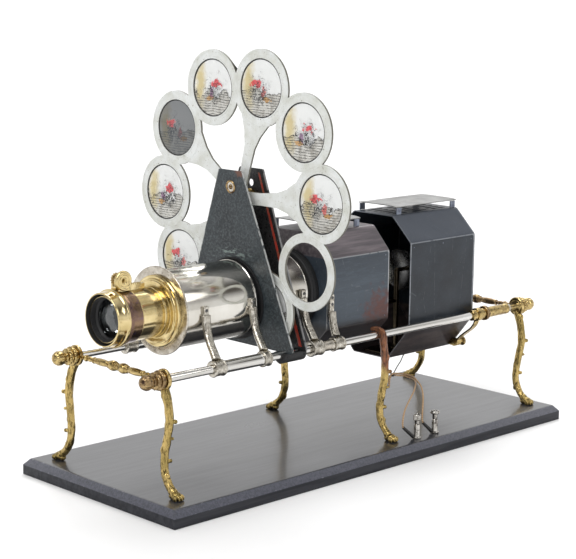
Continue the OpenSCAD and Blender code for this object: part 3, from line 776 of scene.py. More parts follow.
TARNISHED = metal("tarnished_nickel", (0.64, 0.60, 0.53), (0.43, 0.39, 0.33), (0.15, 0.34), 10, 0.9,
                  (0.20, 0.17, 0.13), (0.56, 0.68), 0.03)
POST_NICKEL = metal("post_nickel", (0.60, 0.58, 0.54), (0.38, 0.36, 0.33), (0.1, 0.24), 8, 0.8,
                    (0.11, 0.10, 0.09), (0.5, 0.62), 0.02)
CAST_NICKEL = metal("cast_nickel", (0.66, 0.63, 0.56), (0.34, 0.31, 0.26), (0.18, 0.4), 5, 0.8,
                    (0.12, 0.10, 0.08), (0.54, 0.66), 0.12)
BRIGHT_STEEL = metal("bright_steel", (0.74, 0.73, 0.71), (0.58, 0.56, 0.52), (0.08, 0.2), 30, 0.7,
                     (0.30, 0.27, 0.23), (0.63, 0.75), 0.01, (0.25, 1, 1))
DARK_STEEL = metal("dark_steel", (0.20, 0.20, 0.20), (0.09, 0.09, 0.09), (0.25, 0.45), 8, 0.9,
                   (0.32, 0.28, 0.24), (0.6, 0.7), 0.06)
CAP_METAL = metal("cap_metal", (0.30, 0.30, 0.295), (0.22, 0.22, 0.215), (0.45, 0.6), 26, 0.9,
                  (0.13, 0.12, 0.10), (0.6, 0.75), 0.03)
BRACKET_STEEL = metal("bracket_steel", (0.25, 0.28, 0.34), (0.12, 0.13, 0.17), (0.3, 0.5), 8, 0.9,
                      (0.30, 0.24, 0.18), (0.6, 0.7), 0.05)
# A dim reflector: tarnished, and darkened further as painted shade for the dark lamphouse around it
MIRROR = metal("mirror_metal", (0.16, 0.16, 0.16), (0.10, 0.10, 0.10), (0.22, 0.34), 20, 1.5,
               (0.07, 0.065, 0.06), bump=0.004)
# Brass painted nearly black: painted shade for the dark inside of the lamphouse, on the lamp
# fitting and filament
LAMP_BRASS_SHADED = metal("lamp_brass", (0.085, 0.068, 0.045), (0.045, 0.036, 0.025), (0.25, 0.4), 12, 1.0,
                   (0.03, 0.025, 0.02))
OLIVE = metal("olive_rim", (0.40, 0.40, 0.33), (0.20, 0.20, 0.15), (0.3, 0.5), 8, 0.8,
              (0.10, 0.09, 0.06))
MATT_BLACK = painted("matt_black", (0.020, 0.020, 0.021), (0.008, 0.008, 0.009), (0.45, 0.65),
                     (0.16, 0.155, 0.15), specks=0.72).material
HOUSE_INSIDE = painted("house_inside", (0.012, 0.012, 0.012), (0.005, 0.005, 0.005), (0.6, 0.8),
                       (0.06, 0.06, 0.06), specks=0.75).material
BLACK_WOOD = black_wood()
STAGE_SLATE = stage_slate()
STAGE_BLACK = stage_black()
STRIPE_RED = stripe_red()
FRONT_CASING = front_casing()
REAR_CASING = rear_casing()
CREAM = wheel_cream()
GLASS = lens_glass()
BULB = bulb_glass()
TAN = tan_wire()
RUBBER = black_rubber()


# ---------------------------------------- wires, in metres along the CAD routes

WIRE_A = [(0.053, -0.125, 0.040), (0.052, -0.125, 0.046), (0.056, -0.123, 0.057),
          (0.064, -0.120, 0.066), (0.076, -0.116, 0.074), (0.090, -0.110, 0.081),
          (0.103, -0.102, 0.087), (0.111, -0.094, 0.090), (0.115, -0.086, 0.091),
          (0.117, -0.078, 0.091), (0.116, -0.070, 0.092), (0.111, -0.064, 0.0925),
          (0.105, -0.061, 0.0935), (0.099, -0.060, 0.0935), (0.096, -0.060, 0.090),
          (0.095, -0.060, 0.084), (0.095, -0.060, 0.077)]
WIRE_B = [(0.095, -0.124, 0.039), (0.094, -0.1235, 0.045), (0.096, -0.122, 0.055),
          (0.100, -0.119, 0.066), (0.104, -0.115, 0.076), (0.108, -0.109, 0.083),
          (0.111, -0.103, 0.087), (0.113, -0.096, 0.090), (0.116, -0.088, 0.093),
          (0.119, -0.079, 0.0935), (0.118, -0.071, 0.094), (0.113, -0.0645, 0.095),
          (0.106, -0.0615, 0.096), (0.098, -0.0615, 0.096), (0.0935, -0.0615, 0.0925),
          (0.0925, -0.0615, 0.086), (0.0925, -0.0615, 0.080)]
LEAD = [(0.166, -0.024, 0.109), (0.158, -0.028, 0.107), (0.146, -0.035, 0.103),
        (0.130, -0.043, 0.099), (0.116, -0.051, 0.096), (0.104, -0.058, 0.0945)]
SLEEVE_FEET = [(0.071, -0.1285, 0.024), (0.110, -0.1275, 0.0245)]
TIE = (0.101, -0.060, 0.094)


def make_sleeve(name, foot, top):
    """A black rubber sleeve, ribbed like a worn strain relief."""
    path = curve([foot / MM, (foot * 0.5 + top * 0.5) / MM, top / MM], 14)
    radii = [2.6 - 0.5 * i / (len(path) - 1) - (0.15 if i % 4 == 0 else 0)
             for i in range(len(path))]
    return piece(name, tube(bmesh.new(), path, radii, 24), RUBBER, "root",
                 ["wire_fittings"])


def make_wire(name, route, diameter, node, material, slot, body="root", **facts):
    path = [p * MM for p in curve([Vector(p) / MM for p in route], 4)]
    bm = tube(bmesh.new(), [p / MM for p in path], diameter / 2 / MM, 14)
    wire = piece(name, bm, material, body, [node])
    return wire


def make_wires():
    sleeves = [make_sleeve(f"wire_sleeve_{end}", Vector(foot), Vector(route[0])) for end, foot,
               route in zip(("front", "rear"), SLEEVE_FEET, (WIRE_A, WIRE_B))]
    knot = bmesh.new()
    for k, (lean, r) in enumerate(((0.2, 2.6), (1.1, 2.9), (1.9, 2.4))):
        turn = (Matrix.Translation(Vector(TIE) / MM) @ Matrix.Rotation(lean, 4, "Z")
                @ Matrix.Rotation(0.5 * k, 4, "X"))
        loop = [turn @ Vector((r * math.cos(a), r * 0.8 * math.sin(a), 0.4 * math.sin(2 * a)))
                for a in (TURN * i / 36 for i in range(37))]
        tube(knot, loop, 0.85, 10)
    knot = piece("wire_knot", knot, RUBBER, "root", ["wire_fittings"])
    make_wire("tan_wire_a", WIRE_A, 0.0022, "wire_a", TAN, "tan_wire", far_end="bare",
              stiffness="stiff", with_pieces=[sleeves[0], knot])
    make_wire("tan_wire_b", WIRE_B, 0.0022, "wire_b", TAN, "tan_wire", far_end="bare",
              stiffness="stiff", with_pieces=[sleeves[1]])
    lead = make_wire("lamp_lead", LEAD, 0.0015, "lead_wire", RUBBER, "black_rubber", None,
                     far_end="knot", stiffness="stiff", lay="taut")
    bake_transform(lead)


make_wires()


# ---------------------------------------- fasteners and knurls

def make_screw_mesh():
    """A slotted round-head screw of radius 1, facing +Z."""
    head = lathe(bmesh.new(), [(0, 0.62), (0.3, 0.6), (0.6, 0.5), (0.84, 0.3), (0.97, 0.08),
                               (1, -0.1), (1, -0.5), (0, -0.5)], Matrix.Identity(4), 40)
    bmesh.ops.remove_doubles(head, verts=head.verts, dist=0.001)
    head = cut(head, block(bmesh.new(), (-1.4, -0.13, 0.22), (1.4, 0.13, 1), 0.01))
    return as_mesh(head, "screw")


SCREW = make_screw_mesh()


def screw(bm, place, r, twist=0.6):
    part = bmesh.new()
    part.from_mesh(SCREW)
    return join(bm, part, place @ Matrix.Rotation(twist, 4, "Z") @ Matrix.Scale(r, 4))


def rivet(bm, place, r):
    return lathe(bm, [(0, 0.5 * r), (0.5 * r, 0.44 * r), (0.85 * r, 0.2 * r), (r, -0.1 * r),
                      (0, -0.12 * r)], place, 24)


def knurl(teeth, depth, start, end):
    """Grooves round a turned piece between two distances."""
    def factor(r, d, a):
        return 1 + (depth / max(r, 0.1)) * math.cos(teeth * a) if start <= d <= end else 1
    return factor


# ---------------------------------------- board

def make_board():
    a, b = low("baseboard"), high("baseboard")
    bm = bmesh.new()
    edge = bm.verts.layers.float.new("edge")
    levels = [(0.7, 0, 0), (0.15, 0.25, 0.6), (0, 1.0, 0.6), (0, 1.8, 0), (0, 12.2, 0),
              (0, 12.8, 0.5), (0.1, 13.2, 1), (0.6, 13.8, 1), (1.1, 14.3, 0), (6.4, b.z - 1.1, 0),
              (7.3, b.z - 0.3, 1), (8.2, b.z, 1), (10.5, b.z, 0)]
    rings = []
    for inset, z, near in levels:
        ring = []
        corner = [(a.x + inset, a.y + inset), (b.x - inset, a.y + inset),
                  (b.x - inset, b.y - inset), (a.x + inset, b.y - inset)]
        for x, y in rounded(corner, 1.2, 4, closed=True):
            vert = bm.verts.new((x, y, z))
            vert[edge] = near
            ring.append(vert)
        rings.append(ring)
    bridge(bm, rings)
    bm.faces.new(rings[0][::-1])
    bm.faces.new(rings[-1])
    piece("baseboard_wood", bm, BLACK_WOOD, "root", ["baseboard"], 20)


make_board()


# ---------------------------------------- legs, rails and turned brass

LEG_SPINE = [(87, 158), (95, 141), (100, 117), (97, 94), (93.5, 72), (94.5, 52), (104, 36),
             (114, 29)]
FOOT_SHIFT = 6.0
FOOT_Y = 121.0


def leg_path(x, side, steps):
    top = LEG_SPINE[0][1]
    drop = top - BOARD_TOP
    return curve([(x - FOOT_SHIFT * (top - z) / drop, side * y, z) for y, z in LEG_SPINE], steps)


def make_leg(name, x, side, seed, material, hooked):
    """A cast twig: barked stem, buds, bracts and a lion's paw, in one skin."""
    def bark(t, a, p):
        ridges = 0.05 * math.sin(4 * a + 6 * t + seed) + 0.03 * math.sin(7 * a - 9 * t)
        lumps = noise.noise(Vector((math.cos(a), math.sin(a), p.z * 0.085 + seed * 3)))
        fine = noise.noise(Vector((2.6 * math.cos(a), 2.6 * math.sin(a), p.z * 0.28 + seed)))
        return 1 + ridges + 0.13 * lumps + 0.06 * fine

    bm = bmesh.new()
    path = leg_path(x, side, 16)
    if hooked:
        hook = [(x - 8, side * 78, 171.5), (x - 6, side * 82, 173), (x - 3.5, side * 88, 172.4),
                (x - 2, side * 92.8, 169), (x - 2, side * 95, 163.5), (x - 2, side * 95.3, 157),
                (x - 1, side * 95.5, 149)]
        path = curve(hook + [tuple(p) for p in path[24::16]], 16)
    radii = []
    for i, p in enumerate(path):
        t = i / (len(path) - 1)
        tip = min(1, 0.55 + 1.6 * t) if hooked else 1
        radii.append((5.5 - 0.7 * t) * tip)
    tube(bm, path, radii, 40, bark)
    for z, size in ((114, 3.0), (64, 2.8), (93, 2.1)):
        near = min(path, key=lambda p: abs(p.z - z) + (100 if p.z > 150 else 0))
        out = Vector((0.75 * -side, side * 0.66, 0.15)).normalized()
        ball(bm, near + out * 5.0, (size, size, size * 0.85))
        ball(bm, near + out * (5.2 + size * 0.72), (size * 0.95,) * 3)
    for z, spin in ((147, 0.4), (133, 2.2), (80, 1.2), (45, 2.8)):
        near = min(path, key=lambda p: abs(p.z - z))
        out = Vector((math.cos(spin + seed), math.sin(spin + seed), 0))
        ball(bm, near + out * 3.2, (3.4, 3.4, 6.5), Matrix.Rotation(0.25, 4, "X"))
    foot_x = x - FOOT_SHIFT
    ball(bm, (foot_x, side * 110.5, 30.5), (5.2, 6.5, 5.6), Matrix.Rotation(side * -0.5, 4, "X"))
    ball(bm, (foot_x, side * 116.5, 27.2), (6.8, 7.0, 5.0))
    ball(bm, (foot_x, side * 110, 25.6), (4.6, 4.4, 4.2))
    for i in (-1.5, -0.5, 0.5, 1.5):
        fan = Matrix.Rotation(side * -0.16 * i, 4, "Z")
        ball(bm, (foot_x + i * 3.7, side * (FOOT_Y + 1.2 - 0.9 * i * i), 25.2), (1.9, 4.6, 3.7),
             fan)
        ball(bm, (foot_x + i * 4.1, side * (FOOT_Y + 4.6 - 1.1 * i * i), 23.6), (1.0, 1.7, 1.9),
             fan)
    bm = remeshed(bm, 0.62, 2)
    for v in bm.verts:
        v.co.z = max(v.co.z, BOARD_TOP)
    piece(name + "_cast", bm, material, "root", [name],
          60)


def make_legs():
    seed = 0
    for side_name, side in SIDES.items():
        for where, x in (("front", FRONT_LEG_X), ("middle", low("leg_middle_near").x + PAW_REACH),
                         ("rear", REAR_LEG_X)):
            seed += 1.7
            hooked = where == "middle"
            material = RUSTY_BRASS if hooked and side < 0 else CAST_BRASS
            make_leg(f"leg_{where}_{side_name}", x, side, seed, material, hooked)
            if hooked:
                continue
            inward = "+x" if where == "front" else "-x"
            start = x - DISC_THICK / 2 if where == "front" else x + DISC_THICK / 2
            face = rounded([(RAIL_R, 0), (8.6, 0), (9.2, 0.9), (11.6, 0.9), (DISC_R, 2.0),
                            (DISC_R, 5.4), (12.2, 6.4), (9.4, 6.4), (8.8, 7), (RAIL_R, 7)], 0.4, 2)
            bm = lathe(bmesh.new(), face, on_rail(start, side, inward), 72, loop=True)
            piece(f"leg_disc_{where}_{side_name}", bm, TURNED_BRASS, "root")


def make_rails():
    for side_name, side in SIDES.items():
        start = FRONT_LEG_X - DISC_THICK / 2 + 0.1
        length = REAR_LEG_X - FRONT_LEG_X + DISC_THICK - 0.2
        outline = [(0, 0), (RAIL_R, 0), (RAIL_R, length), (0, length)]
        bm = spin(outline, on_rail(start, side), 0.3, 64, False)
        piece(f"rail_{side_name}_rod", bm, BRIGHT_STEEL, "root",
              [f"rail_{side_name}"])


def make_finials():
    """Acorn knobs with a roped collar."""
    profile = ([(0, 0.2), (7.8, 0.2), (9.0, 1.0)] + bead(1.5, 5.0, 9.6, 12.7)
               + [(8.6, 7.2), (8.2, 8.0)] + bead(8.4, 4.2, 8.2, 11.0)
               + [(6.6, 13.2), (5.9, 14.4), (6.3, 15.4)]
               + [(9.3 * math.sin(math.radians(38 + 142 * k / 22)) ** 0.85,
                   22.4 - 8.6 * math.cos(math.radians(38 + 142 * k / 22)) + 1.6 * k / 22)
                  for k in range(22)] + [(1.8, 32.5), (1.2, 33.2), (0, 33.4)])

    def rope(r, d, a):
        if 1.5 < d < 6.5:
            return 1 + 0.022 * math.cos(22 * a + 0.9 * (d - 4))
        if 8.6 < d < 12.4:
            return 1 + 0.035 * math.cos(16 * a)
        if 15.5 < d < 31:
            lobes = 0.03 * math.cos(11 * a + 0.12 * (d - 15))
            return 1 + lobes + 0.012 * math.cos(0.9 * d) * math.cos(22 * a)
        return 1

    for side_name, side in SIDES.items():
        for where, axis, x in (("front", "-x", FRONT_LEG_X - DISC_THICK / 2),
                               ("rear", "+x", REAR_LEG_X + DISC_THICK / 2)):
            bm = lathe(bmesh.new(), profile, on_rail(x, side, axis), 132, shape=rope)
            dark = side < 0 and where == "front"
            piece(f"finial_{where}_{side_name}", bm, OLD_BRONZE if dark else TURNED_BRASS, "root",
                  ["finials"])


def make_cross_bars():
    half = ([(3.6, 0), (3.6, 1.6)] + bead(1.9, 1.6, 3.8, 5.0) + [(4.0, 4.2)]
            + bead(4.6, 11.0, 4.4, 6.7, 14) + [(4.2, 16.0)] + bead(16.6, 1.8, 4.2, 5.2)
            + [(3.6, 19.0), (3.4, 20.6)] + [(3.4 + 1.3 * math.sin(math.pi * (0.10 + 0.85 * k / 14)),
                                             21 + 26 * k / 14) for k in range(15)]
            + bead(47.6, 1.7, 3.2, 4.3) + [(2.7, 50), (2.5, 52)]
            + [(2.5 + 1.0 * math.sin(math.pi * k / 8), 52.5 + 9 * k / 8) for k in range(9)]
            + bead(62.5, 4.4, 2.8, 4.4) + [(2.9, 67.5), (2.9, 74.4)])
    for where, x, material in (("front", FRONT_LEG_X, TURNED_BRASS),
                               ("rear", REAR_LEG_X, OLD_BRONZE)):
        outline = [(r, -d) for r, d in half[::-1]] + half[1:]
        outline = [(0, outline[0][1])] + outline + [(0, outline[-1][1])]
        bm = lathe(bmesh.new(), outline, at("+y", x, 0, RAIL_Z), 64)
        piece(f"cross_bar_{where}", bm, material, "root", ["cross_bars"], 50)


make_legs()
make_rails()
make_finials()
make_cross_bars()


# ---------------------------------------- binding posts

def make_posts():
    for name, nut_body, nut_z, nut_thick, nut_r in (("front", "nut_front", 47, 9, 4.8),
                                                    ("rear", "nut_rear", 49.5, 4, 6.5)):
        x, y, _ = middle(f"binding_post_{name}")
        base = [(0, 0), (6, 0), (6, 2.2), (5.2, 3), (4.3, 3.4), (4.3, 19.6), (3.6, 20.5),
                (2.5, 20.5), (2.5, nut_z + nut_thick - 0.6 - BOARD_TOP),
                (0, nut_z + nut_thick - 0.5 - BOARD_TOP)]
        bm = spin(base, at("+z", x, y, BOARD_TOP), 0.3, 48, False)
        bm = cut(bm, lathe(bmesh.new(), [(0, -10), (1.7, -10), (1.7, 10), (0, 10)],
                           at("+x", x, y, 36), 32))
        piece(f"post_{name}_stem", bm, POST_NICKEL, "root", [f"binding_post_{name}"])
        lip = min(0.9, nut_thick / 4)
        outline = rounded([(2.6, 42.4), (3.6, 42.4), (3.6, nut_z), (nut_r - 0.6, nut_z),
                           (nut_r, nut_z + lip), (nut_r, nut_z + nut_thick - lip),
                           (nut_r - 0.8, nut_z + nut_thick), (2.9, nut_z + nut_thick),
                           (2.6, nut_z + nut_thick - 0.4)], 0.2, 2)
        teeth = knurl(40, 0.18, nut_z + lip + 0.2, nut_z + nut_thick - lip - 0.2)
        bm = lathe(bmesh.new(), outline + [(2.6, 42.4)], at("+z", x, y, 0), 240, shape=teeth)
        piece(f"post_{name}_nut", bm, POST_NICKEL, nut_body, [f"binding_nut_{name}"])


make_posts()


# ---------------------------------------- slide stage

STAGE_LEAN = 3.3
STAGE_FRONT_X = -141.5
STAGE_REAR_X = low("stage_rear_plate").x
SCREW_Z = 376
STAGE_OUTLINE = rounded([(-22.5, 398), (-107, 172), (-104, 168), (104, 168), (107, 172),
                         (22.5, 398)], 2.5, 4, True)


def leaning(x=0.0):
    pivot = Matrix.Translation((STAGE_FRONT_X, 0, RAIL_Z))
    return pivot @ Matrix.Rotation(math.radians(-STAGE_LEAN), 4,
                                   "Y") @ Matrix.Translation((x, 0, -RAIL_Z)) @ ACROSS_X


def slope_edge(z, inset=0.0):
    """How far from the middle the stage plates reach at a height."""
    return 22.5 + (107 - 22.5) * (398 - z) / (398 - 172) - inset


def make_stage():
    bm = plate(bmesh.new(), [STAGE_OUTLINE, circle(0, AXIS_Z, 40), circle(0, SCREW_Z, 3, 32)], 2.0,
               leaning(1.0), 0.25)
    piece("stage_front_sheet", bm, STAGE_SLATE, "root", ["stage_front_plate"], 18)
    bm = plate(bmesh.new(), [STAGE_OUTLINE, circle(0, AXIS_Z, 44),
                             circle(0, SCREW_Z + 2.6, 4.8, 32), circle(0, WHEEL.z, 3.5, 32)], 2.5,
               facing_x(STAGE_REAR_X + 1.25), 0.25)
    piece("stage_rear_sheet", bm, STAGE_BLACK, "root", ["stage_rear_plate"], 18)
    bm = bmesh.new()
    for side in SIDES.values():
        lines = []
        for k in range(25):
            z = 393 - (393 - 174) * k / 24
            width = 3.4 + 2.2 * k / 24
            lines.append((side * slope_edge(z, 7.5), side * slope_edge(z, 7.5 + width), z))
        outline = [(a, z) for a, _, z in lines] + [(b, z) for _, b, z in lines[::-1]]
        plate(bm, [outline], 0.5, facing_x(STAGE_REAR_X + 0.12), 0.1)
    piece("stage_stripes", bm, STRIPE_RED, "root", ["stage_rear_plate"])

    ring = rounded([(42, 0), (55, 0), (55, 2.5), (53.5, 2.5), (52.8, 1.9), (44.5, 1.9), (43.6, 2.5),
                    (42, 2.5)], 0.3, 2)
    place = leaning() @ ACROSS_X.inverted() @ at("-x", 0, 0, AXIS_Z)
    bm = lathe(bmesh.new(), ring, place, 128, loop=True)
    for k in range(4):
        a = math.radians(45 + 90 * k)
        screw(bm, place @ Matrix.Translation((48.6 * math.cos(a), 48.6 * math.sin(a), 1.6)), 1.5, k)
    piece("stage_mount_ring", bm, MATT_BLACK, "root", ["stage_collar"])

    bm = bmesh.new()
    for side in SIDES.values():
        profile = []
        for r in (11, RAIL_R + 0.1):
            reach = math.degrees(math.acos((168 - RAIL_Z) / r)) if r > 3 else 0
            arc = [math.radians(90 + reach + (360 - 2 * reach) * k / 40) for k in range(41)]
            profile += [(side * RAIL_Y + r * math.cos(a), RAIL_Z + r * math.sin(a))
                        for a in (arc if r > 10 else arc[::-1])]
        plate(bm, [profile], 38, facing_x(-127), 0.4)
        for x in (-142, -112):
            screw(bm, at(OUTWARD[side], x, side * (RAIL_Y + 10.6), RAIL_Z - 1), 2.0, 0.4)
    piece("stage_saddles", bm, MATT_BLACK, "root", ["stage_shoes"])

    place = leaning() @ ACROSS_X.inverted() @ at("-x", 0, 0, SCREW_Z)
    eyelet = [(7.5 + 1.3 * math.cos(TURN * k / 24), max(0, 1.5 * math.sin(TURN * k / 24)))
              for k in range(24)]
    bm = lathe(bmesh.new(), [(0, 0), (6.4, 0), (6.4, 0.25), (3.2, 0.3), (0, 0.3)], place, 64)
    lathe(bm, [(0, -3.9), (2.7, -3.9), (2.9, -3.5), (2.9, 0.2), (0, 0.2)], place, 32)
    piece("stage_screw_seat", bm, TARNISHED, "root", ["pivot_screw"])
    bm = lathe(bmesh.new(), eyelet, place, 64, loop=True)
    screw(bm, place @ Matrix.Translation((0, 0, 0.6)), 3.2, 2.3)
    piece("stage_eyelet", bm, OLD_BRONZE, "root", ["pivot_screw"])

    x = WHEEL.x
    bm = spin([(0, 0), (7.4, 0), (9, 1.1), (9, 2.5), (6, 2.5), (6, 14.5), (9.6, 14.5), (10, 15),
               (10, 17.2), (6, 17.5), (6, 24.5), (11, 24.5), (11, 27.5), (0, 27.5)],
              at("+x", x - 8.5, 0, WHEEL.z), 0.4, 64, False)
    lathe(bm, rounded([(0, 0), (3.4, 0), (3.4, 2.5), (6.5, 2.5), (6.5, 5.4), (5.2, 6.5), (0, 6.5)],
                      0.4, 2), at("+x", STAGE_REAR_X, 0, WHEEL.z), 6)
    screw(bm, at("-x", x - 8.3, 0, WHEEL.z) @ Matrix.Translation((0, 0, -1.1)), 3.2, 0.9)
    piece("wheel_pivot", bm, TURNED_BRASS, "root", ["wheel_stud"])


make_stage()


# ---------------------------------------- wheel and slides

def ring_centre(k):
    a = math.radians(WHEEL_TURN + 36 * k)
    return Vector((WHEEL.x, -WHEEL_ARM * math.sin(a), WHEEL.z + WHEEL_ARM * math.cos(a)))


def make_wheel():
    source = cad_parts["slide_wheel"]
    bm = bmesh.new()
    bm.from_mesh(source.data)
    bmesh.ops.transform(bm, matrix=Matrix.Scale(1 / MM, 4) @ source.matrix_world, verts=bm.verts)
    bmesh.ops.remove_doubles(bm, verts=bm.verts, dist=0.01)
    bmesh.ops.dissolve_limit(bm, angle_limit=math.radians(0.8), verts=bm.verts, edges=bm.edges)
    piece("wheel_casting", bm, CREAM, "slide_wheel", ["slide_wheel"], 30, bevel=0.45)
    lips, olive = bmesh.new(), bmesh.new()
    for k in range(10):
        c = ring_centre(k)
        for axis, x in (("-x", c.x - 1.5), ("+x", c.x + 1.5)):
            lip = [(38.15, -0.2), (38.25, 0.3), (39.4, 0.42), (40.3, 0.3), (40.6, -0.2)]
            lathe(lips, lip, at(axis, x, c.y, c.z), 128)
            rim = [(46.9, -0.2), (47.2, 0.25), (48.8, 0.3), (49.2, -0.2)]
            lathe(lips, rim, at(axis, x, c.y, c.z), 128)
        if k != 3:
            for turn in (0.5, 2.6, 4.7):
                spot = Vector((0, 39.6 * math.cos(turn + k), 39.6 * math.sin(turn + k)))
                rivet(olive, at("-x", c.x - 1.6, c.y + spot.y, c.z + spot.z), 1.0)
    piece("wheel_lips", lips, CREAM, "slide_wheel", ["slide_wheel"], 40)
    for axis, x in (("-x", WHEEL.x - 1.6), ("+x", WHEEL.x + 1.6)):
        ring = rounded([(6.2, 4.0), (13.2, 4.0), (13.9, 3.4), (13.9, 1.2), (17.5, 0.3),
                        (17.6, -0.2), (6.2, -0.2)], 0.4, 2)
        lathe(olive, ring, at(axis, x, 0, WHEEL.z), 72, loop=True)
    piece("wheel_hub", olive, OLIVE, "slide_wheel", ["slide_wheel"])


def slide_finish(k, centre, ground, hill, red, ochre, dark):
    """A made-up scene in ink strokes and flat colours on glass."""
    look = Look(f"slide_picture_{k}", ior=1.45)
    along = look.minus(look.part("Y"), centre.y)
    height = look.minus(look.part("Z"), centre.z)
    above = look.plus(height, ground)
    skyline = look.plus(look.times(look.math("SINE", look.times(along, hill)), 4.0),
                        look.span(look.noise(14, 4, EVEN, (k, 2, 3)), 0.3, 0.7, -9, 7))
    land = look.span(look.minus(skyline, above), -0.4, 0.4)
    rows = look.span(look.math("SINE", look.plus(
        look.times(height, 1.9), look.times(look.noise(22, 3, EVEN, (k, 0, 1)), 9))), 0.72, 0.9)
    outline = look.span(look.size_of(look.minus(skyline, above)), 0.9, 0.5)
    strokes = look.span(look.size_of(look.minus(look.noise(7, 4, EVEN, (2, k, 5), 0.6, 1.2), 0.5)),
                        0.022, 0.010)
    hatch = look.span(look.size_of(look.minus(look.noise(3.4, 3, (1, 1, 0.5), (k, 4, 1)), 0.5)),
                      0.05, 0.03)
    busy = look.spot((centre.x, centre.y + red * 0.35, centre.z - 3), (30, 21, 19), 0.35, 0.7, 9)
    busy_hatch = look.times(look.spot((centre.x, centre.y + red * 0.6, centre.z - 7), (30, 14, 11),
                                      0.2, 0.7, 6), hatch)
    ink = look.most(look.times(busy, strokes),
                    look.most(busy_hatch, look.most(outline, look.times(land, rows))))
    ink = look.times(ink, look.span(look.noise(5, 2, EVEN, (k, k, 3)), 0.34, 0.46, 0.15, 1))
    shade = look.times(land, look.span(look.noise(9, 5, (1, 1, 0.6), (4, k, 2), 0.65), 0.48, 0.62))
    colour = look.mix(land, (0.90, 0.91, 0.90), (0.74, 0.73, 0.68))
    colour = look.over(colour, look.spot((centre.x, centre.y + ochre, centre.z + 2), (30, 9, 28),
                                         0.6), 0.75, (0.66, 0.52, 0.16))
    colour = look.over(colour, shade, 0.75, (0.30, 0.28, 0.24))
    flame = look.spot((centre.x, centre.y + red, centre.z + 6), (20, 8.5, 5), 0.1, 0.75, 7)
    coat = look.spot((centre.x, centre.y - red * 0.5, centre.z - 6), (20, 4, 6), 0.1, 0.6, 5)
    sash = look.spot((centre.x, centre.y - red, centre.z - 14), (20, 7, 3.2), 0.15, 0.6, 6)
    colour = look.over(colour, sash, 0.8, (0.66, 0.33, 0.05))
    colour = look.over(colour, coat, 0.8, (0.20, 0.05, 0.19) if k % 2 else (0.62, 0.05, 0.04))
    colour = look.over(colour, flame, 0.9, (0.68, 0.015, 0.03))
    colour = look.mix(ink, colour, (0.012, 0.012, 0.014))
    if dark:
        colour = look.mix(look.minus(0.78, look.times(flame, 0.5)), colour, (0.045, 0.055, 0.065))
    look.set("Base Color", colour)
    opaque = look.most(look.most(ink, look.most(flame, coat)), look.times(shade, 0.6))
    look.set("Transmission Weight", look.span(opaque, 0, 1, 0.2 if dark else 0.5, 0.0))
    look.set("Roughness", look.span(shade, 0, 1, 0.1, 0.3))
    return look.bump(ink, 0.02).material


def make_slides():
    binding = bmesh.new()
    for k in range(10):
        if k == 3:
            continue
        c = ring_centre(k)
        finish = slide_finish(k, c, (4, 7, 2, 0, 6, 3, 8, 5, 3, 6)[k], 0.09 + 0.013 * k,
                              (9, -8, 12, 0, -12, 6, 10, -9, 13, -6)[k],
                              (24, 25, 23, 0, 26, 24, 25, 26, 24, 25)[k], k == 8)
        disc = [(0, -0.85), (36.9, -0.85), (37.3, -0.5), (37.3, 0.5), (36.9, 0.85), (0, 0.85)]
        piece(f"slide_{k}", spin(disc, at("+x", c.x, c.y, c.z), 0.2, 96, False), finish,
              "slide_wheel", ["slides"])
        for d in (-0.95, 0.75):
            lathe(binding, [(36.4, d), (37.9, d), (37.9, d + 0.2), (36.4, d + 0.2)],
                  at("+x", c.x, c.y, c.z), 96, loop=True)
    piece("slide_bindings", binding, MATT_BLACK, "slide_wheel", ["slides"])


make_wheel()
make_slides()


# ---------------------------------------- lens

TUBE_X = low("lens_tube").x + 2.7
TUBE_LENGTH = high("lens_tube").x - TUBE_X


def turned(name, outline, x, material, body, node, soft, steps, shape=None, extra=None):
    """A turned part on the lens axis, with softened corners."""
    bm = spin(outline, on_axis(x), soft, steps, shape=shape)
    if extra:
        extra(bm)
    return piece(name, bm, material, body, node)


def slot_in_top(bm):
    return cut(bm, block(bmesh.new(), (low("lens_jacket").x - 1, -3.5, AXIS_Z + 20),
                         (low("lens_jacket").x + 48, 3.5, AXIS_Z + 50), 0.2))


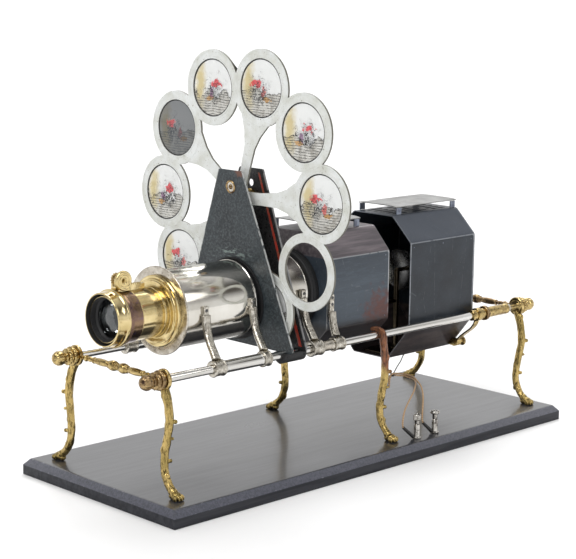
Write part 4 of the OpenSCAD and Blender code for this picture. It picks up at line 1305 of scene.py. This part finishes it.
def make_lens():
    carriage = "lens_carriage"
    end = TUBE_LENGTH
    turned("tube_shell", [(50.9, 0), (50.9, end - 4.6), (51, end - 4.2), (51, end - 3.2),
                          (51.9, end - 2.6), (52, end - 1.9), (51.9, end - 0.5), (51.2, end),
                          (49.5, end), (49.5, 0)], TUBE_X, NICKEL, carriage,
           ["lens_tube"], 0.3, 192)
    turned("tube_flange", [(43, -2.7), (56.4, -2.7), (57, -2.1), (57, -0.6), (56.4, 0), (51.6, 0),
                           (51.1, 0.5), (51.1, 2.2), (50.9, 2.2), (50.9, -0.2), (43, -0.2)], TUBE_X,
           TARNISHED, carriage, ["lens_tube"], 0.3, 192)
    turned("tube_lining", [(49.45, 3), (49.45, end - 1), (49.1, end - 1), (49.1, 3)], TUBE_X,
           HOUSE_INSIDE, carriage, ["lens_tube"], 0.05, 96)

    def flange_screws(bm):
        for k in range(3):
            a = math.radians(78 + 120 * k)
            screw(bm, at("-x", TUBE_X - 7.0, -43.5 * math.cos(a), AXIS_Z + 43.5 * math.sin(a)), 1.5,
                  k + 0.3)
    turned("brass_flange", [(32.7, -8), (33.6, -8), (34.2, -7.6), (39.3, -7.6), (40, -7),
                            (40.3, -7), (42, -6.6), (42, -4.5), (44.6, -4.5), (46, -3.4),
                            (46, -0.1), (43, -0.1), (43, 6), (32.7, 6)], TUBE_X - 2.7, LENS_BRASS,
           carriage, ["lens_flange"], 0.3, 192, extra=flange_screws)

    ring_x = low("lens_jacket").x
    bm = spin([(29.5, 0), (35.0, 0), (35.3, 0.5), (35.3, 1.5), (34.9, 1.8), (35.3, 2.1),
               (35.3, 3.4), (34.9, 3.7), (35.3, 4.0), (35.3, 4.8), (34, 5.4), (34, 6.4), (33.6, 10),
               (33.3, 20.6), (33.2, 21), (29.5, 21)], on_axis(ring_x), 0.15, 192)
    piece("jacket_ring", slot_in_top(bm), LACQUER, carriage, ["lens_jacket"])
    bm = spin([(29.5, 21), (33.1, 21), (33.1, 21.8), (32.6, 22.4), (32.6, 55.5), (32.3, 55.8),
               (32.3, 56.3), (32.6, 56.6), (32.6, 86), (29.5, 86)], on_axis(ring_x), 0.15, 192)
    piece("jacket_shell", slot_in_top(bm), LENS_BRASS, carriage, ["lens_jacket"])

    bm = bmesh.new()
    side = rounded([(-346, 261.6), (-326, 261.6), (-326, 268), (-330, 276), (-335, 280),
                    (-341, 281.5), (-344.5, 280.5), (-346, 277)], 1.2, 4, True)
    for y in (-5.85, 5.85):
        plate(bm, [side], 3.3, Matrix.Translation((0, y, 0)) @ TO_AXIS["-y"], 0.3)
        lathe(bm, [(0, 0), (3.4, 0), (3.9, -0.4), (3.9, -1), (0, -1)],
              at("+y" if y > 0 else "-y", KNOB_X, math.copysign(7.5, y), KNOB_Z), 40)
        screw(bm, at("+y" if y > 0 else "-y", -330, math.copysign(7.1, y), 266.5), 1.7, 1.1)
    block(bm, (-329.4, -7.5, 262), (-326.6, 7.5, 266.5), 0.3)
    piece("pinion_cheeks", bm, LENS_BRASS, carriage, ["pinion_box"], 18)

    hood_x = low("lens_hood").x
    turned("hood_shell", [(32.2, 0.1), (33.0, 0), (33.8, 0.6), (34.0, 2.2), (33.8, 2.8),
                          (34.4, 9.6), (35.4, 12.8), (36.2, 13.4), (36.9, 14.4), (37, 16),
                          (36.8, 17.4), (36, 18.2), (34.6, 18.5), (29.5, 18.5), (29.5, 15),
                          (31.8, 14)], hood_x, LENS_BRASS, "objective", ["lens_hood"],
           0.25, 192)
    turned("hood_lining", [(32.15, 0.3), (31.75, 14), (29.5, 14.9), (29.45, 14.5), (31.3, 13.6),
                           (31.8, 0.5)], hood_x, MATT_BLACK, "objective",
           ["lens_hood"], 0.05, 128)
    barrel_x = low("objective_barrel").x
    turned("barrel_shell", [(28.4, 0), (29.4, 0.3), (29.4, 94.7), (28.4, 95)], barrel_x, LENS_BRASS,
           "objective", ["objective_barrel"], 0.15, 144)
    steps = [(28.35, 0.2)]
    for k in range(5):
        steps += [(28.2 - 0.15 * k, 1.2 + 1.7 * k), (27.7 - 0.15 * k, 1.5 + 1.7 * k)]
    steps += [(25, 10), (25, 12), (27.5, 12.2), (27.5, 85), (26, 85), (26, 87), (27.5, 87.2),
              (27.5, 94.8), (28.35, 94.8)]
    turned("barrel_lining", steps, barrel_x, MATT_BLACK, "objective",
           ["objective_barrel"], 0.05, 96)
    keep_node("objective_lenses", GLASS)
    keep_node("focus_rack", LENS_BRASS)
    keep_node("focus_pinion", TURNED_BRASS)

    knob = [(2, 0), (10.0, 0), (10.8, 0.2), (12.1, 0.9), (12.5, 1.5), (12.5, 4.6), (12.0, 5.3),
            (11, 6.3), (9.6, 6.3), (9.0, 5.7), (7.6, 5.7), (7, 6.3), (4.2, 6.3), (3.4, 5.6),
            (2, 5.4)]
    bm = lathe(bmesh.new(), rounded(knob, 0.2, 2, True), at("-y", KNOB_X, -8.4, KNOB_Z), 264,
               loop=True, shape=lambda r, d, a: 1 - 0.014
               * (0.5 + 0.5 * math.cos(66 * a)) if r > 11.9 else 1)
    piece("knob_turned", bm, LENS_BRASS, "focus_shaft", ["focus_knob"])


def make_arm(name, x, width, side, body, node, target_r, house=False):
    """A fluted stem with a bolted pad at its top and a ringed collar on the rail."""
    def fluted(t, a, p):
        return 1 - 0.16 * (0.5 + 0.5 * math.cos(4 * a)) * (abs(math.sin(a)) ** 2)

    if house:
        collar_r = 10.0
        stem = [(0, 85.3, 175.5), (1, 80.5, 184), (2, 76.5, 196), (3, 74, 206)]
        pad = (-1.2, 7.2), (70.4, 74.8), (200.5, 229.6)
        bolts = [(3, 74.6, z, 2.3) for z in (216, 225)]
    else:
        collar_r = 11.0
        stem = [(0, 85.3, 175.5), (2, 79, 182), (5, 69, 191.5), (8, 60.5, 203), (10, 55.5, 215),
                (10, 54.3, 226)]
        pad = (5.9, 14.1), (49.5, 55.6), (214.4, 237.6)
        bolts = [(10, 55.2, z, 2.5) for z in (223, 232)]
    path = curve([(x + dx, side * y, z) for dx, y, z in stem], 10)
    radii = [6.4 - 0.6 * math.sin(math.pi * i / (len(path) - 1)) for i in range(len(path))]
    bm = tube(bmesh.new(), path, radii, 48, fluted, squash=0.78, start_side=(1, 0, 0))
    pad_x, pad_y, pad_z = [x + dx for dx in pad[0]], sorted(side * y for y in pad[1]), pad[2]
    block(bm, *zip(pad_x, pad_y, pad_z), 1.4)
    bm = remeshed(bm, 0.65, 3)
    if not house:
        reach = target_r + 0.02
        room = [(0, -300), (reach, -300), (reach, 300), (0, 300)]
        bm = cut(bm, lathe(bmesh.new(), room, on_axis(0), 192))
    w = width / 2
    ring = rounded([(RAIL_BORE, -w), (collar_r - 1.2, -w), (collar_r - 0.4, -w + 0.8),
                    (collar_r - 0.4, -w + 2.2), (collar_r - 1.2, -w + 2.8),
                    (collar_r - 1.2, w - 2.8), (collar_r - 0.4, w - 2.2), (collar_r - 0.4, w - 0.8),
                    (collar_r - 1.2, w), (RAIL_BORE, w)], 0.4, 2, True)
    lathe(bm, ring, on_rail(x, side), 72, loop=True)
    piece(name, bm, CAST_NICKEL, body, [node], 45)
    bm = bmesh.new()
    for dx, y, z, r in bolts:
        screw(bm, at(OUTWARD[side], x + dx, side * y, z), r, z + x)
    piece(name + "_screws", bm, DARK_STEEL, body, [node], 45)


def make_sleeves_between(node, first, second, r, material, body):
    start, end = first[0] + first[1] / 2, second[0] - second[1] / 2
    for side_name, side in SIDES.items():
        outline = [(RAIL_BORE, start), (r - 0.5, start), (r, start + 0.5), (r, start + 3),
                   (r - 0.4, start + 3.4), (r - 0.4, end - 3.4), (r, end - 3), (r, end - 0.5),
                   (r - 0.5, end), (RAIL_BORE, end)]
        bm = spin(outline, on_rail(0, side), 0.25)
        piece(f"{node}_{side_name}", bm, material, body, [node])


LENS_COLLARS = [(-254, 18), (-173, 12)]
CONDENSER_COLLARS = [(-82, 20), (-40.5, 19)]


def make_arms():
    for side_name, side in SIDES.items():
        for k, (x, width) in enumerate(LENS_COLLARS):
            make_arm(f"lens_arm_{side_name}_{k}", x, width, side, "lens_carriage",
                     f"lens_arms_{side_name}", 51)
        x, width = CONDENSER_COLLARS[0]
        make_arm(f"drum_arm_{side_name}", x, width, side, "condenser_carriage",
                 f"condenser_arms_{side_name}", 50)
        x, width = CONDENSER_COLLARS[1]
        make_arm(f"house_arm_{side_name}", x, width, side, "condenser_carriage",
                 f"condenser_arms_{side_name}", 0, True)
    lens_r = (high("lens_sleeves").z - low("lens_sleeves").z) / 2
    condenser_r = (high("condenser_sleeves").z - low("condenser_sleeves").z) / 2
    make_sleeves_between("lens_sleeves", *LENS_COLLARS, lens_r, BRIGHT_STEEL, "lens_carriage")
    make_sleeves_between("condenser_sleeves", *CONDENSER_COLLARS, condenser_r, TARNISHED,
                         "condenser_carriage")


make_lens()
make_arms()


# ---------------------------------------- condenser

def make_condenser():
    x = low("condenser_drum").x
    turned("drum_shell", [(46, 0), (49.4, 0), (50, 0.6), (50, 3.4), (49.6, 3.8), (49.6, 43.2),
                          (50, 43.6), (50, 46.6), (49.6, 47), (48, 47), (48, 3), (46, 3)], x,
           NICKEL, "condenser_carriage", ["condenser_drum"], 0.3, 160)
    turned("condenser_ring", [(44, 0), (53, 0), (54, 0.6), (55, 2), (55, 4), (54.5, 4.5),
                              (54.5, 6.5), (55, 7), (55, 13.4), (54.4, 14), (44, 14)], x + 47,
           MATT_BLACK, "condenser_carriage", ["condenser_collar"], 0.3, 288,
           shape=lambda r, d, a: 1 - 0.004 * (0.5 + 0.5 * math.cos(96 * a)) if r > 54.8 and d > 7.2
           else 1)
    keep_node("condenser_lenses", GLASS)


make_condenser()


# ---------------------------------------- sheet casings

SHEET = 1.2


def drawn_in(outline, by):
    """The same outline moved sideways by the sheet's thickness."""
    out = []
    for i, b in enumerate(outline):
        b = Vector(b)
        a, c = Vector(outline[i - 1]), Vector(outline[(i + 1) % len(outline)])
        m, n = (Vector((-(q - p).y, (q - p).x)).normalized() for p, q in ((a, b), (b, c)))
        out.append(tuple(b + (m + n) * by / (1 + m.dot(n))))
    return out


def inside_of(outline, by):
    """The same outline moved in, whichever way round it runs."""
    drawn = drawn_in(outline, by)
    if max(p[1] for p in drawn) > max(p[1] for p in outline):
        drawn = drawn_in(outline, -by)
    return drawn


def make_shell(outline, start, end, fold=3.2, dents=0.35, seed=0.0):
    """A folded sheet casing along X with soft folds, shallow dents and worn folds."""
    outer = rounded(outline, fold, 5, True)
    dense = []
    for i, p in enumerate(outer):
        q = outer[(i + 1) % len(outer)]
        gap = math.dist(p, q)
        count = max(1, round(gap / 4))
        dense += [(p[0] + (q[0] - p[0]) * k / count, p[1] + (q[1] - p[1]) * k / count)
                  for k in range(count)]
    inner = inside_of(dense, SHEET)
    bm = bmesh.new()
    edge = bm.verts.layers.float.new("edge")
    stations = [start + (end - start) * k / round((end - start) / 4)
                for k in range(round((end - start) / 4) + 1)]
    corners = [Vector(c) for c in outline]
    middle_line = Vector((sum(p[0] for p in outline) / len(outline),
                          sum(p[1] for p in outline) / len(outline)))
    shells = []
    for line in (dense, inner):
        rings = []
        for x in stations:
            ring = []
            for y, z in line:
                flat = min((Vector((y, z)) - c).length for c in corners)
                away = min(flat / 14, (x - start) / 9, (end - x) / 9, 1)
                dent = (dents * max(0, away)
                        * (0.5 + noise.noise(Vector((x * 0.035 + seed, y * 0.035, z * 0.035)))))
                inward = (middle_line - Vector((y, z))).normalized() * dent
                v = bm.verts.new((x, y + inward.x, z + inward.y))
                v[edge] = max(1 - flat / 3.0, 1 - (x - start) / 2.0, 1 - (end - x) / 2.0, 0)
                ring.append(v)
            rings.append(ring)
        shells.append(rings)
    for shell in shells:
        bridge(bm, shell)
    for end_ring in (0, -1):
        bridge(bm, [shell[end_ring] for shell in shells])
    return bm


def side_rivets(bm, outline, stations, at_share):
    """Small rivets along a row on each long panel."""
    r = 1.5
    for i, j in at_share:
        a, b = Vector(outline[i]), Vector(outline[(i + 1) % len(outline)])
        point = a.lerp(b, j)
        run = (b - a).normalized()
        out = Vector((run.y, -run.x))
        if out.dot(point - Vector((0, AXIS_Z))) < 0:
            out = -out
        for x in stations:
            normal = Vector((0, out.x, out.y))
            place = pointing((x, point.x, point.y), normal)
            rivet(bm, place @ Matrix.Translation((0, 0, -0.42 * r)), r)
    return bm


def make_cap(name, node, body, x_ends, y_half, top_z, feet_z, droop):
    """A cover plate with turned-down edges on four bent brackets."""
    bm = bmesh.new()
    edge = bm.verts.layers.float.new("edge")
    nx, ny = 24, 14
    for level in (0, 1):
        grid = []
        for i in range(nx + 1):
            x = x_ends[0] + (x_ends[1] - x_ends[0]) * i / nx
            row = []
            for j in range(ny + 1):
                y = -y_half + 2 * y_half * j / ny
                sag = (droop * (abs(y) / y_half) ** 6
                       + 0.35 * (0.5 + noise.noise(Vector((x * 0.03, y * 0.03, top_z)))))
                v = bm.verts.new((x, y, top_z - sag - 1.2 * level))
                v[edge] = 1.0 if i in (0, nx) or j in (0, ny) else 0.0
                row.append(v)
            grid.append(row)
        for i in range(nx):
            for j in range(ny):
                face = (grid[i][j], grid[i + 1][j], grid[i + 1][j + 1], grid[i][j + 1])
                bm.faces.new(face if level == 0 else face[::-1])
        if level == 0:
            top = grid
    rims = [([r[0] for r in top], [r[0] for r in grid]),
            ([r[-1] for r in top], [r[-1] for r in grid]), (top[0], grid[0]), (top[-1], grid[-1])]
    for rim in rims:
        bridge(bm, rim, closed=False)
    piece(name, bm, CAP_METAL, body, [node], 40)
    feet = bmesh.new()
    for x in (x_ends[0] + 2, x_ends[1] - 12):
        for side in SIDES.values():
            y = side * y_half
            profile = [(y, top_z - 3.2), (y, feet_z + 0.2), (y - side * 1.9, feet_z + 0.2),
                       (y - side * 1.9, top_z - 3.2)]
            plate(feet, [rounded(profile, 0.5, 2, True)], 10, facing_x(x + 5), 0.25)
            screw(feet, at(OUTWARD[side], x + 5, y - side * 0.8, (top_z + feet_z) / 2 - 0.5), 1.5,
                  x)
    piece(name + "_feet", feet, BRACKET_STEEL, body, [node], 18)


FRONT_OUTLINE = [(-40, 308), (-70, 276), (-70, 180), (-40, 148), (40, 148), (70, 180), (70, 276),
                 (40, 308)]
REAR_OUTLINE = [(-37, 316), (-73, 281), (-73, 159), (-33, 110), (33, 110), (73, 159), (73, 281),
                (37, 316)]


def make_front_casing():
    a, b = low("front_house"), high("front_house")
    bm = make_shell(FRONT_OUTLINE, a.x, b.x, dents=0.3, seed=3)
    piece("front_casing_shell", bm, FRONT_CASING, "condenser_carriage",
          ["front_house"], 40)
    face = rounded(inside_of(FRONT_OUTLINE, SHEET * 0.9), 3, 4, True)
    bm = plate(bmesh.new(), [face, circle(0, AXIS_Z, 44)], 1.5, facing_x(a.x + 0.76), 0.2)
    for y, z in ((-33, 292), (33, 292), (-33, 163), (33, 163)):
        rivet(bm, at("-x", a.x + 0.5, y, z), 1.4)
    piece("front_casing_face", bm, FRONT_CASING, "condenser_carriage",
          ["front_house"], 18)
    bm = side_rivets(bmesh.new(), FRONT_OUTLINE, (a.x + 7, a.x + 114),
                     [(1, 0.06), (1, 0.94), (5, 0.06), (5, 0.94)])
    piece("front_casing_rivets", bm, BRACKET_STEEL, "condenser_carriage",
          ["front_house"])
    make_cap("front_cover", "front_house_cap", "condenser_carriage", (-43, 53), 38, 322, 308, 1.6)


def make_rear_casing():
    a, b = low("rear_house"), high("rear_house")
    bm = make_shell(REAR_OUTLINE, a.x, b.x, dents=0.4, seed=8)
    slots = bmesh.new()
    for y in (-24, -12, 0, 12, 24):
        for x in (134, 175, 216):
            end = [(x + 2.5 + 2.5 * math.cos(t), y + 2.5 * math.sin(t))
                   for t in (math.pi / 2 + math.pi * k / 8 for k in range(9))]
            end += [(x + 27.5 + 2.5 * math.cos(t), y + 2.5 * math.sin(t))
                    for t in (-math.pi / 2 + math.pi * k / 8 for k in range(9))]
            plate(slots, [end], 24, Matrix.Translation((0, 0, 314)), 0.01)
    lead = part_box("lead_wire")[1] / MM
    lathe(slots, [(0, -6), (2.9, -6), (2.9, 14), (0, 14)],
          at("+z", lead.x - 0.5, lead.y - 0.5, 106), 24)
    bm = cut(bm, slots)
    piece("rear_casing_shell", bm, REAR_CASING, "lamphouse", ["rear_house"], 40)
    bm = side_rivets(bmesh.new(), REAR_OUTLINE, (a.x + 7, (a.x + b.x) / 2, b.x - 7),
                     [(1, 0.05), (1, 0.95), (5, 0.05), (5, 0.95)])
    piece("rear_casing_rivets", bm, BRACKET_STEEL, "lamphouse", ["rear_house"])
    make_cap("rear_cover", "rear_house_cap", "lamphouse", (127, 257), 36, 329, 316, 1.2)

    x = low("rear_panel").x
    outline = rounded(REAR_OUTLINE, 3.2, 5, True)
    bm = plate(bmesh.new(), [outline], 1.2, facing_x(x + 0.65), 0.25)
    for y, z in ((-30, 303), (30, 303), (-66, 272), (66, 272), (-66, 170), (66, 170), (-28, 120),
                 (28, 120)):
        rivet(bm, at("+x", x + 0.95, y, z), 1.1)
    piece("rear_panel_sheet", bm, REAR_CASING, "lamphouse", ["rear_panel"], 18)


make_front_casing()
make_rear_casing()


# ---------------------------------------- rear carriage and lamp

def make_sliders():
    a, b = low("house_sliders"), high("house_sliders")
    r = 7.7
    length = b.x - a.x
    for side_name, side in SIDES.items():
        outline = [(RAIL_BORE, 0), (r - 0.6, 0), (r, 0.6), (r, 5), (r - 0.5, 5.6), (r - 0.5, 6.6),
                   (r, 7.2), (r, length - 9), (r - 0.5, length - 8.4), (r - 0.5, length - 7.4),
                   (r, length - 6.8), (r, length - 0.8), (r - 0.8, length), (RAIL_BORE, length)]
        bm = spin(outline, on_rail(a.x, side), 0.25, 96)
        piece(f"slider_{side_name}", bm, TURNED_BRASS if side < 0 else OLD_BRONZE, "lamphouse",
              ["house_sliders"])

    x0, x1 = low("house_brackets").x, high("house_brackets").x
    for side_name, side in SIDES.items():
        bm = spin([(7.75, 0.1), (9.2, 0.1), (9.6, 0.6), (9.6, 9.4), (9.2, 9.9), (7.75, 9.9)],
                  on_rail(x0, side), 0.3)
        line = curve([Vector((y, z, 0)) for y, z in ((-86.5, 155.6), (-84, 150), (-78, 143),
                                                     (-69, 136), (-60, 129), (-54, 122.5))], 8)
        band = []
        for k, sign in ((0, 1), (1, -1)):
            row = []
            for i, p in enumerate(line):
                tangent = (line[min(i + 1, len(line) - 1)] - line[max(i - 1, 0)]).normalized()
                row.append((p.x - tangent.y * 1.15 * sign, p.y + tangent.x * 1.15 * sign))
            band += row if k == 0 else row[::-1]
        pad = [(-56, 122.8), (-54.3, 114.2), (-49, 112.2), (-36.5, 114.2), (-43.6, 122.9)]
        for shape in (band, rounded(pad, 0.8, 3, True)):
            shape = [(-side * y, z) for y, z in shape]
            plate(bm, [shape], x1 - x0 - 0.3, facing_x((x0 + x1) / 2), 0.35)
        screw(bm, at("+x", x1 - 0.5, side * 44, 118), 1.4, 0.5)
        piece(f"strap_{side_name}", bm, TURNED_BRASS, "lamphouse",
              ["house_brackets"], 18)

        ring_x = low(f"clamp_ring_{side_name}").x
        ring = [(7.8, 0.1), (9.8, 0.1), (10.5, 0.8), (10.5, 5.2), (9.8, 5.9), (7.8, 5.9)]
        bm = spin(ring, on_rail(ring_x, side), 0.25, 216, shape=knurl(54, 0.14, 1.0, 5.0))
        piece(f"clamp_{side_name}", bm, OLD_BRONZE, f"clamp_ring_{side_name}",
              [f"clamp_ring_{side_name}"])

        t = middle(f"thumbscrew_{side_name}")
        start = low(f"thumbscrew_{side_name}").x
        head = [(0, 0), (1.9, 0), (2, 0.4), (2, 14.5), (3.6, 15.6), (3.6, 17), (5.4, 17.2),
                (6.3, 17.9), (6.55, 18.6), (6.55, 20.5), (6.0, 21.4), (5.2, 21.9), (0, 21.9)]
        bm = spin(head, at("+x", start, t.y, t.z), 0.25, 192, False,
                  shape=knurl(44, 0.13, 18.4, 20.8))
        bm = cut(bm, block(bmesh.new(), (start + 20.6, t.y - 9, t.z - 0.6),
                           (start + 24, t.y + 9, t.z + 0.6), 0.1))
        piece(f"thumb_{side_name}", bm, TURNED_BRASS, f"thumbscrew_{side_name}",
              [f"thumbscrew_{side_name}"])


def make_lamp():
    floor_z = low("lamp_stand").z
    bm = block(bmesh.new(), (132, -26, floor_z), (222, 26, floor_z + 2), 0.5)
    lathe(bm, rounded([(0, 2), (9, 2), (9, 4), (5.5, 6), (4, 8), (4, 117.4), (3.4, 118), (0, 118)],
                      0.4, 2), at("+z", LAMP_POST_X, 0, floor_z), 48)
    lathe(bm, [(0, 0), (3, 0), (3, 36.5), (0, 36.5)], at("+x", BULB_X, 0, 183), 40)
    lathe(bm, [(0, 0), (3, 0), (3, 16.8), (0, 16.8)], on_axis(LAMP_POST_X), 40)
    lathe(bm, rounded([(0, 0), (6.4, 0), (7, 0.6), (7, 9), (10.4, 9.2), (11, 10), (11, 14),
                       (10.6, 14.4), (10.6, 16), (11, 16.4), (11, 24.4), (10.3, 25), (0, 25)], 0.3,
                      2), at("+z", BULB_X, 0, 179), 72)
    for y in (-22, 22):
        screw(bm, at("+z", 138, y, floor_z + 1.6), 2.2, y)
        screw(bm, at("+z", 216, y, floor_z + 1.6), 2.2, y + 1)
    piece("lamp_fitting", bm, LAMP_BRASS_SHADED, "lamphouse", ["lamp_stand"])
    swell = [math.radians(180 - (180 - 26) * k / 30) for k in range(31)]
    outside = [(21 * math.sin(t), 22 - 21 * math.cos(t)) for t in swell] + [(9, 2.6), (8.8, 0)]
    inside = [(8.0, 0), (8.2, 3.4)] + [(20.2 * math.sin(t), 22 - 20.2 * math.cos(t))
                                       for t in swell[::-1]]
    piece("bulb_shell", lathe(bmesh.new(), outside + inside, at("+z", BULB_X, 0, 204), 96), BULB,
          "lamphouse", ["lamp_bulb"], 50)
    bm = tube(bmesh.new(), curve([(BULB_X, -3, 204), (BULB_X, -4, 214), (BULB_X, -8, 226)], 6), 0.5,
              10)
    tube(bm, curve([(BULB_X, 3, 204), (BULB_X, 4, 214), (BULB_X, 8, 226)], 6), 0.5, 10)
    tube(bm, curve([(BULB_X, -8 + 2 * k, 226 + (3 if k % 2 else 0)) for k in range(9)], 6), 0.35, 8)
    piece("bulb_filament", bm, LAMP_BRASS_SHADED, "lamphouse", ["lamp_bulb"], 60)
    dish = [(30 * k / 24, -8.6 * (k / 24) ** 2.3) for k in range(25)]
    back = [(r, d + 1.6) for r, d in dish[:-1][::-1]]
    bm = lathe(bmesh.new(), dish + back, at("+x", low("reflector").x + 9, 0, AXIS_Z), 96)
    piece("reflector_dish", bm, MIRROR, "lamphouse", ["reflector"], 60)


make_sliders()
make_lamp()


# ---------------------------------------- table, light and finish

TABLE_REACH = 60.0
SKY = [(0.0, (0.6, 0.6, 0.6)), (0.5, (0.96, 0.96, 0.96)), (0.60, (0.96, 0.96, 0.96)),
       (0.67, (0.52, 0.52, 0.52)), (0.73, (0.12, 0.11, 0.10)), (0.83, (0.11, 0.105, 0.10)),
       (0.90, (0.5, 0.5, 0.51)), (1.0, (0.58, 0.58, 0.58))]


def make_table():
    bm = bmesh.new()
    corners = ((-1, -1), (1, -1), (1, 1), (-1, 1))
    bm.faces.new([bm.verts.new((TABLE_REACH * x, TABLE_REACH * y, 0)) for x, y in corners])
    mesh = as_mesh(bm, "table")
    table = linked("table", mesh)
    look = Look("pale_paper")
    look.set("Base Color", look.mix(look.noise(400, 3), (0.90, 0.90, 0.90),
                                    (0.93, 0.93, 0.93))).set("Roughness", 0.7)
    mesh.materials.append(look.material)


def soft_light(name, azimuth, elevation, spread, power):
    """Even light from one side, as wide as a large diffuser."""
    back = toward(azimuth, elevation)
    data = bpy.data.lights.new(name, "SUN")
    data.energy = power
    data.angle = math.radians(spread)
    light = linked(name, data)
    light.matrix_world = pointing(back * 3, back)


def make_light():
    """A pale studio with a dark band high up for the metal to mirror, and three wide lights."""
    world = bpy.data.worlds.new("studio")
    bpy.context.scene.world = world
    world.use_nodes = True
    sky = Nodes(world.node_tree)
    direction = sky.node("ShaderNodeTexCoord").outputs["Generated"]
    height = sky.node("ShaderNodeMath", operation="MULTIPLY_ADD")
    for socket, value in zip(height.inputs, (sky.split(direction, "Z"), 0.5, 0.5)):
        sky.put(socket, value)
    ramp = sky.node("ShaderNodeValToRGB")
    sky.put(ramp.inputs[0], height.outputs[0])
    while len(ramp.color_ramp.elements) < len(SKY):
        ramp.color_ramp.elements.new(0.5)
    for element, (position, colour) in zip(ramp.color_ramp.elements, SKY):
        element.position = position
        element.color = (*colour, 1)
    away = (-math.sin(math.radians(AZIMUTH)), math.cos(math.radians(AZIMUTH)), 0)
    behind = sky.span(sky.vector("DOT_PRODUCT", direction, away, "Value"), 0.1, 0.45)
    background = next(n for n in sky.tree.nodes if n.type == "BACKGROUND")
    sky.put(background.inputs["Color"], sky.mix(behind, ramp.outputs[0], (1, 1, 1)))
    sky.put(background.inputs["Strength"], 0.92)
    soft_light("key", AZIMUTH - 35, 55, 32, 1.5)
    soft_light("fill", AZIMUTH + 60, 35, 28, 0.55)
    soft_light("back", AZIMUTH + 175, 50, 34, 1.05)


make_table()
make_light()
bpy.context.scene.view_settings.view_transform = "Standard"
